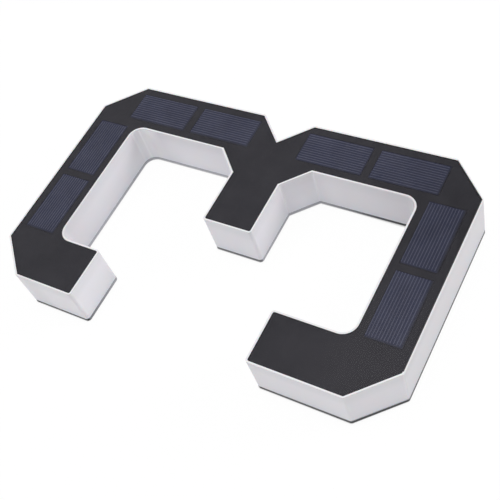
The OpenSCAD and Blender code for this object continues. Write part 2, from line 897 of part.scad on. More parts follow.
side_wall();
face_panel();
front_film();
solar_cell(0);  // solar_cell_top_left
solar_cell(1);  // solar_cell_top_right
solar_cell(2);  // solar_cell_spine_1
solar_cell(3);  // solar_cell_spine_2
solar_cell(4);  // solar_cell_spine_3
solar_cell(5);  // solar_cell_spine_4
solar_cell(6);  // solar_cell_bottom_right
solar_cell(7);  // solar_cell_bottom_left
cell_links();
reflector();
back_plate();
gasket();
stud_inserts();
plate_screws();
battery_holder();
battery_cell();
battery_contact_plus();
battery_contact_minus();
control_board();
charge_chip();
driver_coil();
capacitor();
wire_sockets();
board_screws();
switch_case();
switch_plunger();
power_button();
button_seal();
led_board(0);  // led_board_top
led_board(1);  // led_board_bottom
led_board(2);  // led_board_middle
led_board(3);  // led_board_upper_hook
led_board(4);  // led_board_lower_hook
led_chips();
led_leads();
battery_leads();
panel_leads();
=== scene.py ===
import math

import bmesh
import bpy
from mathutils import Matrix, Vector


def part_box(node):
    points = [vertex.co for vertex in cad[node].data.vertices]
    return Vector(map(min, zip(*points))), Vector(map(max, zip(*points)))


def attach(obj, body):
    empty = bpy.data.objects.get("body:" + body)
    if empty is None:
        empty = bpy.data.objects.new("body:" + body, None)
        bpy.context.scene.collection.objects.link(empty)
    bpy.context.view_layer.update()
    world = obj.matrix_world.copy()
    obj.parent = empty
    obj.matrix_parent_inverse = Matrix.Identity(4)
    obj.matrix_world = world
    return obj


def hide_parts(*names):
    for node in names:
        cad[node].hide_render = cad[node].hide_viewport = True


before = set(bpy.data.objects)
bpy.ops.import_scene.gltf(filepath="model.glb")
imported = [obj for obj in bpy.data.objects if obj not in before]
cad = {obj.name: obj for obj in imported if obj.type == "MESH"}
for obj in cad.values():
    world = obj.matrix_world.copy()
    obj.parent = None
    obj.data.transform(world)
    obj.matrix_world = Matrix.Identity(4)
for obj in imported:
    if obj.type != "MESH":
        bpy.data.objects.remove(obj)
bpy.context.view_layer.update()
scene = bpy.context.scene
MM = 0.001  # one millimetre in metres

# Camera
# It looks down on the sign lying on its back, from beyond the hooks' side, and is turned
# about its own line of sight as it was for the photograph. No shift and no blur.
PICTURE_SIDE = 500  # width and height of the photograph, in pixels
FOCAL_LENGTH = 882.8  # in the same pixels
SENSOR_WIDTH = 36  # in millimetres
NEAREST_SEEN = 10 * MM
camera_place = Vector((-202.16, -220.54, 390.08)) * MM
camera_aim = Vector((-14.38, -19.83, 28.0)) * MM
camera_turn = math.radians(-23.12)
lens = bpy.data.cameras.new("camera")
lens.sensor_fit = "HORIZONTAL"
lens.sensor_width = SENSOR_WIDTH
lens.lens = FOCAL_LENGTH / PICTURE_SIDE * SENSOR_WIDTH
lens.clip_start = NEAREST_SEEN
camera = bpy.data.objects.new("camera", lens)
camera.matrix_world = (
    Matrix.Translation(camera_place)
    @ (camera_aim - camera_place).to_track_quat("-Z", "Y").to_matrix().to_4x4()
    @ Matrix.Rotation(camera_turn, 4, "Z")
)
scene.collection.objects.link(camera)
scene.camera = camera
scene.view_settings.view_transform = "Standard"


# Back plate
# A dark plastic tray that closes the housing from behind. It is injection moulded, with a fine
# eroded grain, and carries a sealing rib, posts for screws and boards, and the button's collar.
def put(tree, kind, inputs=None, **settings):
    """Adds a shader node to a tree. An input takes a value, or another node's output."""
    node = tree.nodes.new("ShaderNode" + kind)
    for key, value in settings.items():
        setattr(node, key, value)
    for key, value in (inputs or {}).items():
        if isinstance(value, bpy.types.NodeSocket):
            tree.links.new(value, node.inputs[key])
        else:
            node.inputs[key].default_value = value
    return node


def calc(tree, operation, *values):
    """What a Math node makes of one or two values, such as their product or the larger one."""
    return put(tree, "Math", dict(enumerate(values)), operation=operation).outputs[0]


def vector_calc(tree, operation, *values):
    """What a Vector Math node makes of one or two vectors: a vector, or a number for some."""
    node = put(tree, "VectorMath", dict(enumerate(values)), operation=operation)
    gives_number = operation in ("DOT_PRODUCT", "DISTANCE", "LENGTH")
    return node.outputs["Value" if gives_number else "Vector"]


def fade(tree, value, start, end, low=0.0, high=1.0):
    """Goes evenly from low, where the value is at start, to high, where it is at end."""
    limits = {"Value": value, "From Min": start, "From Max": end, "To Min": low, "To Max": high}
    return put(tree, "MapRange", limits).outputs[0]


def mix_colours(tree, factor, first, second):
    """The colour between first, at factor 0, and second, at factor 1."""
    node = tree.nodes.new("ShaderNodeMix")
    node.data_type = "RGBA"
    tree.links.new(factor, node.inputs[0])
    for socket, value in ((node.inputs[6], first), (node.inputs[7], second)):
        if isinstance(value, bpy.types.NodeSocket):
            tree.links.new(value, socket)
        else:
            socket.default_value = (*value, 1)
    return node.outputs[2]


def new_group(name, inputs, output):
    """A shader node group of floats: inputs, given with their first values, and one output."""
    tree = bpy.data.node_groups.new(name, "ShaderNodeTree")
    for key, value in inputs.items():
        socket = tree.interface.new_socket(key, in_out="INPUT", socket_type="NodeSocketFloat")
        socket.default_value = value
    tree.interface.new_socket(output, in_out="OUTPUT", socket_type="NodeSocketFloat")
    given, result = tree.nodes.new("NodeGroupInput"), tree.nodes.new("NodeGroupOutput")
    return tree, given.outputs, result.inputs


def place_group(tree, group, **inputs):
    """Puts a node group into a material and gives back its output."""
    node = tree.nodes.new("ShaderNodeGroup")
    node.node_tree = group
    for key, value in inputs.items():
        node.inputs[key].default_value = value
    return node.outputs[0]


# Mottle: soft patches of a given size, between two values
NOISE_LOW, NOISE_HIGH = 0.3, 0.7  # nearly all of the noise lies between these
mottle, given, result = new_group("mottle", {"Size": 0.01, "Low": 0, "High": 1}, "Value")
spot = put(mottle, "TexCoord").outputs["Object"]
per_metre = calc(mottle, "DIVIDE", 1.0, given["Size"])
spot = put(mottle, "VectorMath", {0: spot, "Scale": per_metre}, operation="SCALE").outputs[0]
patches = put(mottle, "TexNoise", {"Vector": spot, "Scale": 1.0, "Detail": 3.0}).outputs[0]
patches = fade(mottle, patches, NOISE_LOW, NOISE_HIGH, given["Low"], given["High"])
mottle.links.new(patches, result[0])

# Edge band: 1 along the edges of a piece, falling to 0 at a given width from them
EDGE_LIKENESS = 0.75  # of the rounded and the true normal, where the band is full
edge_band, given, result = new_group("edge_band", {"Width": 0.0005}, "Mask")
rounded = put(edge_band, "Bevel", {"Radius": given["Width"]}, samples=4).outputs[0]
straight = put(edge_band, "NewGeometry").outputs["Normal"]
likeness = vector_calc(edge_band, "DOT_PRODUCT", rounded, straight)
edge_band.links.new(fade(edge_band, likeness, 1.0, EDGE_LIKENESS), result[0])

BUMP_STRENGTH = 0.5
SHEEN_SIZE = 6  # size of the patches of sheen, in grains
SHEEN_SWING = 0.05  # roughness of those patches, to each side of the piece's own
WEAR_LIFT = 0.004  # what wear adds to the darkest plastic


def start_material(name, **sockets):
    """A node material, its tree and its Principled shader, with these values on its sockets."""
    made = bpy.data.materials.new(name)
    made.use_nodes = True
    shader = made.node_tree.nodes["Principled BSDF"]
    for key, value in sockets.items():
        shader.inputs[key.replace("_", " ")].default_value = value
    return made, made.node_tree, shader


def moulded(
    name, colour, rough, grain=0.35, relief=0.01, patch=9.0, uneven=0.08, edge=0.35, worn=1.35,
    shine=0.5, painted_grain_shade=0.0,
):
    """Moulded plastic or rubber: uneven colour, lighter worn edges and a grain, in millimetres."""
    made, tree, shader = start_material(name, Specular_IOR_Level=shine)
    low = [c * (1 - uneven) for c in colour]
    high = [c * (1 + uneven) for c in colour]
    body = mix_colours(tree, place_group(tree, mottle, Size=patch * MM), low, high)
    height = place_group(tree, mottle, Size=grain * MM)
    # Painted light and shade of the grain: lighter on its crests, darker in its hollows
    if painted_grain_shade:
        shade = fade(tree, height, 0.0, 1.0, 1 - painted_grain_shade, 1 + painted_grain_shade)
        body = put(tree, "VectorMath", {0: body, "Scale": shade}, operation="SCALE").outputs[0]
    edges = place_group(tree, edge_band, Width=edge * MM)
    body = mix_colours(tree, edges, body, [min(c * worn + WEAR_LIFT, 1) for c in colour])
    tree.links.new(body, shader.inputs["Base Color"])
    matt, glossy = rough + SHEEN_SWING, rough - SHEEN_SWING
    sheen = place_group(tree, mottle, Size=grain * SHEEN_SIZE * MM, Low=glossy, High=matt)
    tree.links.new(sheen, shader.inputs["Roughness"])
    bump = {"Strength": BUMP_STRENGTH, "Distance": relief * MM, "Height": height}
    tree.links.new(put(tree, "Bump", bump).outputs[0], shader.inputs["Normal"])
    return made


def dress(node, material):
    """Gives a CAD node its finish, in place of what it was packed with."""
    cad[node].data.materials.clear()
    cad[node].data.materials.append(material)


WELD_REACH = 0.002 * MM  # corners of a CAD solid that lie closer than this are one
FLAT_ANGLE = math.radians(0.5)  # faces that meet at less than this are one
ROUNDED_ANGLE = math.radians(30)  # edges sharper than this are rounded


def soften(node, radius, rings=2):
    """Rounds the edges of a CAD solid over a radius in millimetres, and evens its shading."""
    piece = cad[node]
    piece.modifiers.new("joined", "WELD").merge_threshold = WELD_REACH
    flat = piece.modifiers.new("flat_faces", "DECIMATE")
    flat.decimate_type = "DISSOLVE"
    flat.angle_limit = FLAT_ANGLE
    edge = piece.modifiers.new("round_edges", "BEVEL")
    edge.width = radius * MM
    edge.segments = rings
    edge.limit_method = "ANGLE"
    edge.angle_limit = ROUNDED_ANGLE
    piece.modifiers.new("even_shading", "WEIGHTED_NORMAL").keep_sharp = False


PLATE_COLOUR = (0.062, 0.064, 0.075)
plate = moulded("plate_plastic", PLATE_COLOUR, 0.55, grain=0.45, relief=0.03, painted_grain_shade=0.3)
dress("back_plate", plate)
soften("back_plate", 0.25)

# The plate's edge
# Painted light makes the edge pale inside the bays, most towards the head of the figure. Painted
# shade makes the edges that face the hooks' side black.
BAY_MIDDLE = (-14.5 * MM, 0, 0)
BAY_HALF_X, BAY_HALF_Y = 57 * MM, 90.3 * MM  # the bays' walls lie inside these, from that middle
STEEP = 0.5  # a side of the edge leans less than this up or down
LIT_EDGE_COLOUR = (0.46, 0.46, 0.5)
LIT_EDGE_FROM, LIT_EDGE_TO = -65 * MM, -22 * MM  # along y, from not at all to fully
HOOK_FROM, HOOK_TO = -75 * MM, -35 * MM  # along x, from a small share to fully
HOOK_SHARE = 0.2
SHADED_EDGE_COLOUR = (0.016, 0.016, 0.019)
FACES_HOOKS = -0.5  # a side that faces the hooks leans more than this towards them
EDGE_SHADE_X_FROM, EDGE_SHADE_X_TO = 10 * MM, -10 * MM  # along x, from not at all to fully black
EDGE_SHADE_Y_FROM, EDGE_SHADE_Y_TO = -50 * MM, -78 * MM  # the same along y
tree = plate.node_tree
shader = tree.nodes["Principled BSDF"]
spot = put(tree, "TexCoord").outputs["Object"]
place = put(tree, "SeparateXYZ", {0: spot}).outputs
away = vector_calc(tree, "SUBTRACT", spot, BAY_MIDDLE)
away = put(tree, "SeparateXYZ", {0: vector_calc(tree, "ABSOLUTE", away)}).outputs
leans = put(tree, "SeparateXYZ", {0: put(tree, "NewGeometry").outputs["Normal"]}).outputs
upright = calc(tree, "ABSOLUTE", leans["Z"])
# Painted light on the edge inside the bays
lit_edge = fade(tree, place["Y"], LIT_EDGE_FROM, LIT_EDGE_TO)
for value, limit in ((away["X"], BAY_HALF_X), (away["Y"], BAY_HALF_Y), (upright, STEEP)):
    lit_edge = calc(tree, "MULTIPLY", lit_edge, calc(tree, "LESS_THAN", value, limit))
by_hooks = fade(tree, place["X"], HOOK_FROM, HOOK_TO, low=HOOK_SHARE)
lit_edge = calc(tree, "MULTIPLY", lit_edge, by_hooks)
# Painted shade on the edges that face the hooks
shaded_edge = calc(
    tree, "MAXIMUM",
    fade(tree, place["X"], EDGE_SHADE_X_FROM, EDGE_SHADE_X_TO),
    fade(tree, place["Y"], EDGE_SHADE_Y_FROM, EDGE_SHADE_Y_TO),
)
shaded_edge = calc(tree, "MULTIPLY", calc(tree, "LESS_THAN", leans["X"], FACES_HOOKS), shaded_edge)
body = shader.inputs["Base Color"].links[0].from_socket
body = mix_colours(tree, lit_edge, body, LIT_EDGE_COLOUR)
tree.links.new(mix_colours(tree, shaded_edge, body, SHADED_EDGE_COLOUR), shader.inputs["Base Color"])


# Gasket
# An extruded silicone cord pressed into the groove of the plate's rib. It seals the plate
# against the side wall.
GASKET_COLOUR = (0.035, 0.035, 0.037)
dress("gasket", moulded("gasket_rubber", GASKET_COLOUR, 0.7, grain=0.2, relief=0.005))
soften("gasket", 0.3)


# Stud inserts
# Four knurled brass bushes with an M4-sized thread, melted into blind bosses of the plate. The
# wall studs screw into them from behind.
def solids_of(node):
    """The lowest and highest corner of every separate solid of a CAD node, in a fixed order."""
    shape = bmesh.new()
    shape.from_mesh(cad[node].data)
    bmesh.ops.remove_doubles(shape, verts=shape.verts, dist=WELD_REACH)
    boxes, seen = [], set()
    for start in shape.verts:
        if start in seen:
            continue
        seen.add(start)
        found = [start]
        for vertex in found:
            for edge in vertex.link_edges:
                other = edge.other_vert(vertex)
                if other not in seen:
                    seen.add(other)
                    found.append(other)
        low = Vector([min(v.co[axis] for v in found) for axis in range(3)])
        high = Vector([max(v.co[axis] for v in found) for axis in range(3)])
        boxes.append((low, high))
    shape.free()
    return sorted(boxes, key=lambda box: [round(c, 5) for c in box[0]])


def middle_of(low, high, height):
    """The middle of a box in plan, at a height of its own."""
    return Vector(((low.x + high.x) / 2, (low.y + high.y) / 2, height))


def turn_profile(shape, profile, middle, sides=32, wobble=None, finish=0):
    """Turns a profile of (radius, height) points about an upright axis. It closes at radius 0,
    or where the last point is the first one again."""
    rings = []
    for step, (radius, height) in enumerate(profile):
        if step and (radius, height) == profile[0]:
            rings.append(rings[0])
            continue
        if radius == 0:
            rings.append([shape.verts.new(middle + Vector((0, 0, height)))])
            continue
        ring = []
        for side in range(sides):
            angle = 2 * math.pi * side / sides
            reach = radius - (wobble(step, side) if wobble else 0)
            point = Vector((reach * math.cos(angle), reach * math.sin(angle), height))
            ring.append(shape.verts.new(middle + point))
        rings.append(ring)
    for lower, upper in zip(rings, rings[1:]):
        for side in range(sides):
            after = (side + 1) % sides
            if len(lower) == 1:
                corners = [lower[0], upper[after], upper[side]]
            elif len(upper) == 1:
                corners = [lower[side], lower[after], upper[0]]
            else:
                corners = [lower[side], lower[after], upper[after], upper[side]]
            face = shape.faces.new(corners)
            face.smooth = True
            face.material_index = finish


def skin(shape, rings, finish=0, smooth=False, first=True, last=True):
    """Joins rings of as many points with faces, and closes the first and the last one."""
    count = len(rings[0])
    faces = [
        shape.faces.new([lower[k], lower[(k + 1) % count], upper[(k + 1) % count], upper[k]])
        for lower, upper in zip(rings, rings[1:])
        for k in range(count)
    ]
    for face in faces:
        face.smooth = smooth
    if first:
        faces.append(shape.faces.new(rings[0][::-1]))
    if last:
        faces.append(shape.faces.new(rings[-1]))
    for face in faces:
        face.material_index = finish


def add_piece(name, shape, body, replaced=(), materials=(), crisp=None):
    """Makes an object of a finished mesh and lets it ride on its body. Edges
    sharper than crisp, in degrees, are kept sharp in its shading."""
    bmesh.ops.recalc_face_normals(shape, faces=shape.faces)
    shape.normal_update()
    if crisp:
        for edge in shape.edges:
            if len(edge.link_faces) == 2 and edge.calc_face_angle() > math.radians(crisp):
                edge.smooth = False
    mesh = bpy.data.meshes.new(name)
    shape.to_mesh(mesh)
    shape.free()
    for material in materials:
        mesh.materials.append(material)
    piece = bpy.data.objects.new(name, mesh)
    scene.collection.objects.link(piece)
    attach(piece, body)
    if replaced:
        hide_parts(*replaced)


# Drawn streaks: fine lines that run along one axis, as turning or drawing leaves them in metal
streaks, given, result = new_group(
    "drawn_streaks", {"Across": 4000, "Along": 200, "Low": 0, "High": 1}, "Value"
)
spot = put(streaks, "TexCoord").outputs["Object"]
pitch = {0: given["Along"], 1: given["Along"], 2: given["Across"]}
spot = vector_calc(streaks, "MULTIPLY", spot, put(streaks, "CombineXYZ", pitch).outputs[0])
lines = put(streaks, "TexNoise", {"Vector": spot, "Scale": 1.0, "Detail": 2.0}).outputs[0]
lines = fade(streaks, lines, NOISE_LOW, NOISE_HIGH, given["Low"], given["High"])
streaks.links.new(lines, result[0])

DULL_SHARE = 0.88  # what duller patches of metal keep of its colour
DULL_SIZE = 3 * MM
CLEAN_EDGE = 0.2 * MM
GLOSS_SWING = 0.08  # roughness of the streaks, to each side of the metal's own


def metal(name, colour, rough, across=4000, along=200, worn=1.3):
    """Bare or plated metal: drawn streaks in its gloss, cleaner edges, a slightly uneven tone."""
    made, tree, shader = start_material(name, Metallic=1.0)
    tone = place_group(tree, mottle, Size=DULL_SIZE)
    body = mix_colours(tree, tone, [c * DULL_SHARE for c in colour], colour)
    edges = place_group(tree, edge_band, Width=CLEAN_EDGE)
    body = mix_colours(tree, edges, body, [min(c * worn, 1) for c in colour])
    tree.links.new(body, shader.inputs["Base Color"])
    gloss = place_group(
        tree, streaks, Across=across, Along=along, Low=rough - GLOSS_SWING, High=rough + GLOSS_SWING
    )
    tree.links.new(gloss, shader.inputs["Roughness"])
    return made


BRASS_COLOUR = (0.66, 0.45, 0.17)
INSERT_LENGTH = 8.0 * MM
INSERT_OUTER = 3.0 * MM
INSERT_BORE = 2.0 * MM
INSERT_EASE = 0.25 * MM
INSERT_FOOT = 0.02 * MM  # its foot lies this far inside the plate's back
THREAD_DEPTH = 0.25 * MM
THREAD_PITCH = 0.7 * MM
THREAD_START = 0.3 * MM  # from either end of the bush
THREAD_SINK = 0.02 * MM  # a thread's own foot lies this deep in the metal
RIDGE_HALF = 0.42  # half the width of a thread's ridge, over its pitch
RUN_OUT = 4  # a thread grows to its full height over so many steps
KNURLS = 24
KNURL_DEPTH = 0.18 * MM
KNURLED_STEPS = (2, 3, 4, 7, 8, 9)  # points of the profile that the knurl cuts, in two bands
brass = metal("knurled_brass", BRASS_COLOUR, 0.3)


def knurl(step, side):
    """How far a point of the bush lies under the knurl's crest."""
    return KNURL_DEPTH if step in KNURLED_STEPS and side % 2 else 0


def helix(shape, middle, core, crest, pitch, low, high, sides=20):
    """A screw thread on a core, wound from low to high: a ridge that runs out at both ends."""
    steps = int((high - low - pitch) / pitch * sides)
    half = pitch * RIDGE_HALF
    rows = []
    for step in range(steps + 1):
        angle = 2 * math.pi * step / sides
        height = low + pitch / 2 + pitch * step / sides
        reach = core + (crest - core) * min(1, step / RUN_OUT, (steps - step) / RUN_OUT)
        way = Vector((math.cos(angle), math.sin(angle), 0))
        rows.append([
            shape.verts.new(middle + way * out + Vector((0, 0, up)))
            for out, up in ((core, height - half), (reach, height), (core, height + half))
        ])
    skin(shape, rows)


inserts = bmesh.new()
for low, high in solids_of("stud_inserts"):
    middle = middle_of(low, high, 0)
    outside = [(INSERT_OUTER - INSERT_EASE, INSERT_FOOT), (INSERT_OUTER, INSERT_EASE)]
    outside += [(INSERT_OUTER, INSERT_LENGTH * tenth / 10) for tenth in range(1, 9)]
    outside += [
        (INSERT_OUTER, INSERT_LENGTH - INSERT_EASE), (INSERT_OUTER - INSERT_EASE, INSERT_LENGTH),
    ]
    inside = [
        (INSERT_BORE + INSERT_EASE, INSERT_LENGTH), (INSERT_BORE, INSERT_LENGTH - INSERT_EASE),
        (INSERT_BORE, INSERT_EASE), (INSERT_BORE + INSERT_EASE, INSERT_FOOT),
    ]
    profile = outside + inside + outside[:1]
    turn_profile(inserts, profile, middle, sides=2 * KNURLS, wobble=knurl)
    helix(
        inserts, middle, INSERT_BORE + THREAD_SINK, INSERT_BORE - THREAD_DEPTH,
        THREAD_PITCH, THREAD_START, INSERT_LENGTH - THREAD_START,
    )
add_piece("knurled_inserts", inserts, "housing", ["stud_inserts"], [brass], crisp=35)


# Light boards
# Five strips of white-masked aluminium board, stuck flat on the plate under the arms and hooks.
# Two copper rails and the pours between the lamps' seats show through the mask as a low relief.
def ring_of(shape, middle, half_x, half_y, round_r, height, steps=6):
    """A ring of points over middle: a circle, or a rectangle with rounded corners."""
    ring = []
    for k in range(4 * steps):
        angle = math.pi / 2 * (k + 0.5) / steps
        x, y = math.cos(angle), math.sin(angle)
        x = math.copysign(half_x - round_r, x) + round_r * x
        y = math.copysign(half_y - round_r, y) + round_r * y
        ring.append(shape.verts.new(middle + Vector((x, y, height))))
    return ring


def eased_block(shape, low, high, ease, finish=0):
    """A box between two corners, with its edges eased."""
    middle = middle_of(low, high, low.z)
    half, tall = (high - low) / 2, high.z - low.z
    rings = [
        ring_of(shape, middle, half.x - inset, half.y - inset, ease, height, steps=2)
        for inset, height in ((ease, 0), (0, ease), (0, tall - ease), (ease, tall))
    ]
    skin(shape, rings, finish)


COPPER_T = 0.04 * MM
BOARD_EDGE = 0.8 * MM  # bare board round the copper
RAIL_W = 1.2 * MM
POUR_W = 5.6 * MM
POUR_GAP = 0.5 * MM
BOARD_WHITE = (0.74, 0.74, 0.72)
TRACK_WHITE = (0.62, 0.62, 0.58)
white_mask = moulded(
    "white_board_mask", BOARD_WHITE, 0.35, grain=0.5, relief=0.004, uneven=0.03, edge=0.15
)
white_track = moulded(
    "white_track_mask", TRACK_WHITE, 0.3, grain=0.5, relief=0.004, uneven=0.03, edge=0.06
)
lamp_boxes = solids_of("led_chips")
tracks = bmesh.new()
for part in ("top", "bottom", "middle", "upper_hook", "lower_hook"):
    dress("led_board_" + part, white_mask)
    soften("led_board_" + part, 0.1, rings=1)
    low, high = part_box("led_board_" + part)
    size = high - low
    long_axis = 0 if size.x > size.y else 1
    seats = sorted(
        (lamp_low[long_axis] + lamp_high[long_axis]) / 2
        for lamp_low, lamp_high in lamp_boxes
        if low.x < lamp_low.x < high.x and low.y < lamp_low.y < high.y
    )
    ends = (low[long_axis] + BOARD_EDGE, high[long_axis] - BOARD_EDGE)
    breaks = [ends[0] - POUR_GAP / 2, *seats, ends[1] + POUR_GAP / 2]
    strips = [
        (before + POUR_GAP / 2, after - POUR_GAP / 2, 0, POUR_W)
        for before, after in zip(breaks, breaks[1:])
    ]
    rail_out = size[1 - long_axis] / 2 - BOARD_EDGE - RAIL_W / 2
    strips += [(*ends, side * rail_out, RAIL_W) for side in (-1, 1)]
    for start, end, off, width in strips:
        first, last = (low + high) / 2, (low + high) / 2
        first[long_axis], last[long_axis] = start, end
        first[1 - long_axis] += off - width / 2
        last[1 - long_axis] += off + width / 2
        first.z, last.z = high.z, high.z + COPPER_T
        eased_block(tracks, first, last, COPPER_T / 3)
add_piece("light_board_tracks", tracks, "housing", [], [white_track])


# Light chips
# Surface-mount lamps, each a white moulded cup round a yellow phosphor lens, on two tinned feet.
# They sit on the boards at an even pitch and shine sideways and up into the opal wall.
CUP_COLOUR = (0.78, 0.78, 0.76)
CUP_EASE = 0.08 * MM
LENS_SHARE = 0.78  # width of the cup's mouth over its own width
LENS_DEPTH = 0.25 * MM
LENS_FOOT = 0.86  # width of the lens at that depth, over the mouth's
LENS_CROWN = ((0.6, 0.05), (0.2, 0.07))  # share of the lens's radius, and rise in millimetres
PHOSPHOR_DARK, PHOSPHOR_LIGHT = (0.72, 0.5, 0.08), (0.86, 0.68, 0.16)
FOOT_IN, FOOT_OUT, FOOT_HALF, FOOT_T = 0.4 * MM, 0.2 * MM, 0.9 * MM, 0.15 * MM
FOOT_EASE = 0.03 * MM
tinned = metal("tinned_metal", (0.7, 0.69, 0.67), 0.25, across=2500)
cup_white = moulded(
    "chip_cup_plastic", CUP_COLOUR, 0.4, grain=0.15, relief=0.003, uneven=0.03, edge=0.06
)
phosphor, tree, shader = start_material("phosphor_resin", Coat_Weight=0.6, Coat_Roughness=0.1)
flecks = place_group(tree, mottle, Size=0.12 * MM)
flecks = mix_colours(tree, flecks, PHOSPHOR_DARK, PHOSPHOR_LIGHT)
tree.links.new(flecks, shader.inputs["Base Color"])
cloud = place_group(tree, mottle, Size=0.6 * MM, Low=0.3, High=0.45)
tree.links.new(cloud, shader.inputs["Roughness"])
lamps = bmesh.new()
for low, high in lamp_boxes:
    middle = middle_of(low, high, low.z)
    half, tall = (high.x - low.x) / 2, high.z - low.z
    lens_r = half * LENS_SHARE
    cup = [
        ring_of(lamps, middle, reach, reach, round_r, height)
        for reach, round_r, height in (
            (half - CUP_EASE, CUP_EASE, 0),
            (half, 2 * CUP_EASE, CUP_EASE),
            (half, 2 * CUP_EASE, tall - CUP_EASE),
            (half - CUP_EASE, CUP_EASE, tall),
            (lens_r, lens_r, tall),
            (lens_r * LENS_FOOT, lens_r * LENS_FOOT, tall - LENS_DEPTH),
        )
    ]
    skin(lamps, cup, last=False)
    lens = [cup[-1]]
    for share, rise in LENS_CROWN:
        reach = lens_r * share
        lens.append(ring_of(lamps, middle, reach, reach, reach, tall - LENS_DEPTH + rise * MM))
    skin(lamps, lens, finish=1, smooth=True, first=False)
    for side in (-1, 1):
        left, right = sorted(middle.x + side * (half + out) for out in (-FOOT_IN, FOOT_OUT))
        eased_block(
            lamps, Vector((left, middle.y - FOOT_HALF, low.z)),
            Vector((right, middle.y + FOOT_HALF, low.z + FOOT_T)), FOOT_EASE, finish=2,
        )
add_piece("led_lamps", lamps, "housing", ["led_chips"], [cup_white, phosphor, tinned])


# Control board
# A green two-sided board on four posts over the button. It charges the battery from the panel
# and lights the lamps after dark.
BOARD_GREEN = (0.012, 0.1, 0.042)
CHIP_COLOUR = (0.018, 0.018, 0.02)
green_mask = moulded(
    "green_board_mask", BOARD_GREEN, 0.3, grain=0.5, relief=0.004, uneven=0.1, edge=0.2
)
chip_resin = moulded("chip_resin", CHIP_COLOUR, 0.5, grain=0.1, relief=0.004, edge=0.15)
case_plastic = moulded(
    "switch_case_plastic", (0.025, 0.025, 0.027), 0.45, grain=0.15, relief=0.004
)
socket_nylon = moulded("socket_nylon", (0.66, 0.62, 0.5), 0.45, grain=0.2, relief=0.004)
bright_steel = metal("bright_screw_steel", (0.62, 0.61, 0.6), 0.28)
for node, finish, radius, rings in (
    ("control_board", green_mask, 0.12, 1),
    ("charge_chip", chip_resin, 0.12, 2),
    ("switch_case", case_plastic, 0.15, 2),
    ("wire_sockets", socket_nylon, 0.25, 2),
    ("board_screws", bright_steel, 0.2, 2),
):
    dress(node, finish)
    soften(node, radius, rings)

# Chip legs
# Eight legs of tinned copper, stamped from one sheet with the chip's own frame. They are bent
# down from its sides to the board and soldered there.
LEGS_A_SIDE = 4
LEG_WIDTH = 0.4 * MM
LEG_THICK = 0.12 * MM
LEG_PITCH = 0.24  # as a share of the chip's length
LEG_PATH = (  # out from the chip's side and up from the board, in millimetres
    (0.0, 0.8), (0.35, 0.8), (0.55, 0.62), (0.65, 0.2), (0.85, 0.06), (1.3, 0.06),
)
low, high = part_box("charge_chip")
legs = bmesh.new()
for side, edge_x in ((-1, low.x), (1, high.x)):
    for k in range(LEGS_A_SIDE):
        off = (k - (LEGS_A_SIDE - 1) / 2) * (high.y - low.y) * LEG_PITCH
        y = (low.y + high.y) / 2 + off
        rows = []
        for out, up in LEG_PATH:
            spot = Vector((edge_x + side * out * MM, y, low.z + up * MM))
            rows.append([
                legs.verts.new(spot + Vector((0, across * LEG_WIDTH / 2, rise * LEG_THICK / 2)))
                for across, rise in ((-1, -1), (1, -1), (1, 1), (-1, 1))
            ])
        skin(legs, rows)
add_piece("chip_legs", legs, "housing", [], [tinned])

# Small parts
# Chip resistors and ceramic capacitors with tinned ends, and a moulded diode, soldered beside
# the chip and the coil.
SMALL_KINDS = {  # length, width, height and end cap in millimetres, and the body's finish
    "resistor": (2.0, 1.25, 0.5, 0.4, 0),
    "ceramic": (2.0, 1.25, 0.95, 0.45, 2),
    "diode": (4.3, 2.6, 1.9, 0.35, 0),
}
SMALL_PARTS = (  # kind, place from the board's middle in millimetres, and which way it lies
    ("resistor", -6.2, 14.2, "x"), ("resistor", -6.2, 11.4, "x"), ("resistor", -6.2, 8.8, "x"),
    ("ceramic", -6.2, 5.6, "x"), ("resistor", 6.2, 14.2, "x"), ("resistor", 6.2, 11.4, "x"),
    ("ceramic", 6.2, 8.6, "x"), ("ceramic", 6.2, 5.6, "x"), ("diode", -6.2, -1.0, "y"),
    ("resistor", 6.2, -1.0, "y"), ("ceramic", 6.2, -6.0, "y"), ("resistor", -5.8, -8.0, "y"),
    ("resistor", -5.8, -12.0, "y"), ("ceramic", 5.8, -13.0, "y"),
)
CAP_SWELL = 0.04  # the end caps stand proud of the body by this much, in millimetres
SMALL_EASE = 0.06 * MM
low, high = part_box("control_board")
board_middle = middle_of(low, high, high.z)
small = bmesh.new()
for kind, x, y, lies in SMALL_PARTS:
    length, width, tall, cap, finish = SMALL_KINDS[kind]
    centre = board_middle + Vector((x, y, 0)) * MM
    for start, end, swell, part_finish in (
        (-length / 2 + cap / 2, length / 2 - cap / 2, 0, finish),
        (-length / 2, -length / 2 + cap, CAP_SWELL, 1),
        (length / 2 - cap, length / 2, CAP_SWELL, 1),
    ):
        first = Vector((start, -width / 2 - swell, 0))
        last = Vector((end, width / 2 + swell, tall + swell))
        if lies == "y":
            first, last = first.yxz, last.yxz
        eased_block(small, centre + first * MM, centre + last * MM, SMALL_EASE, part_finish)
ceramic = moulded("ceramic_body", (0.42, 0.28, 0.16), 0.4, grain=0.1, relief=0.003, edge=0.05)
add_piece("board_small_parts", small, "housing", [], [chip_resin, tinned, ceramic])

# Board tracks
# Copper tracks under the green mask, which join the parts and the sockets, and tinned vias that
# take them through to the back.
def in_metres(points):
    """Points of a profile or outline that are given in millimetres."""
    return [(first * MM, second * MM) for first, second in points]


def sweep(shape, route, outline, finish=0, smooth=False):
    """Draws an outline of (across, up) points along a route that never stands upright."""
    rings = []
    for before, point, after in zip([route[0], *route], route, [*route[1:], route[-1]]):
        along = ((point - before).normalized() + (after - point).normalized()).normalized()
        across = along.cross(Vector((0, 0, 1))).normalized()
        up = across.cross(along)
        rings.append([shape.verts.new(point + across * x + up * z) for x, z in outline])
    skin(shape, rings, finish, smooth)


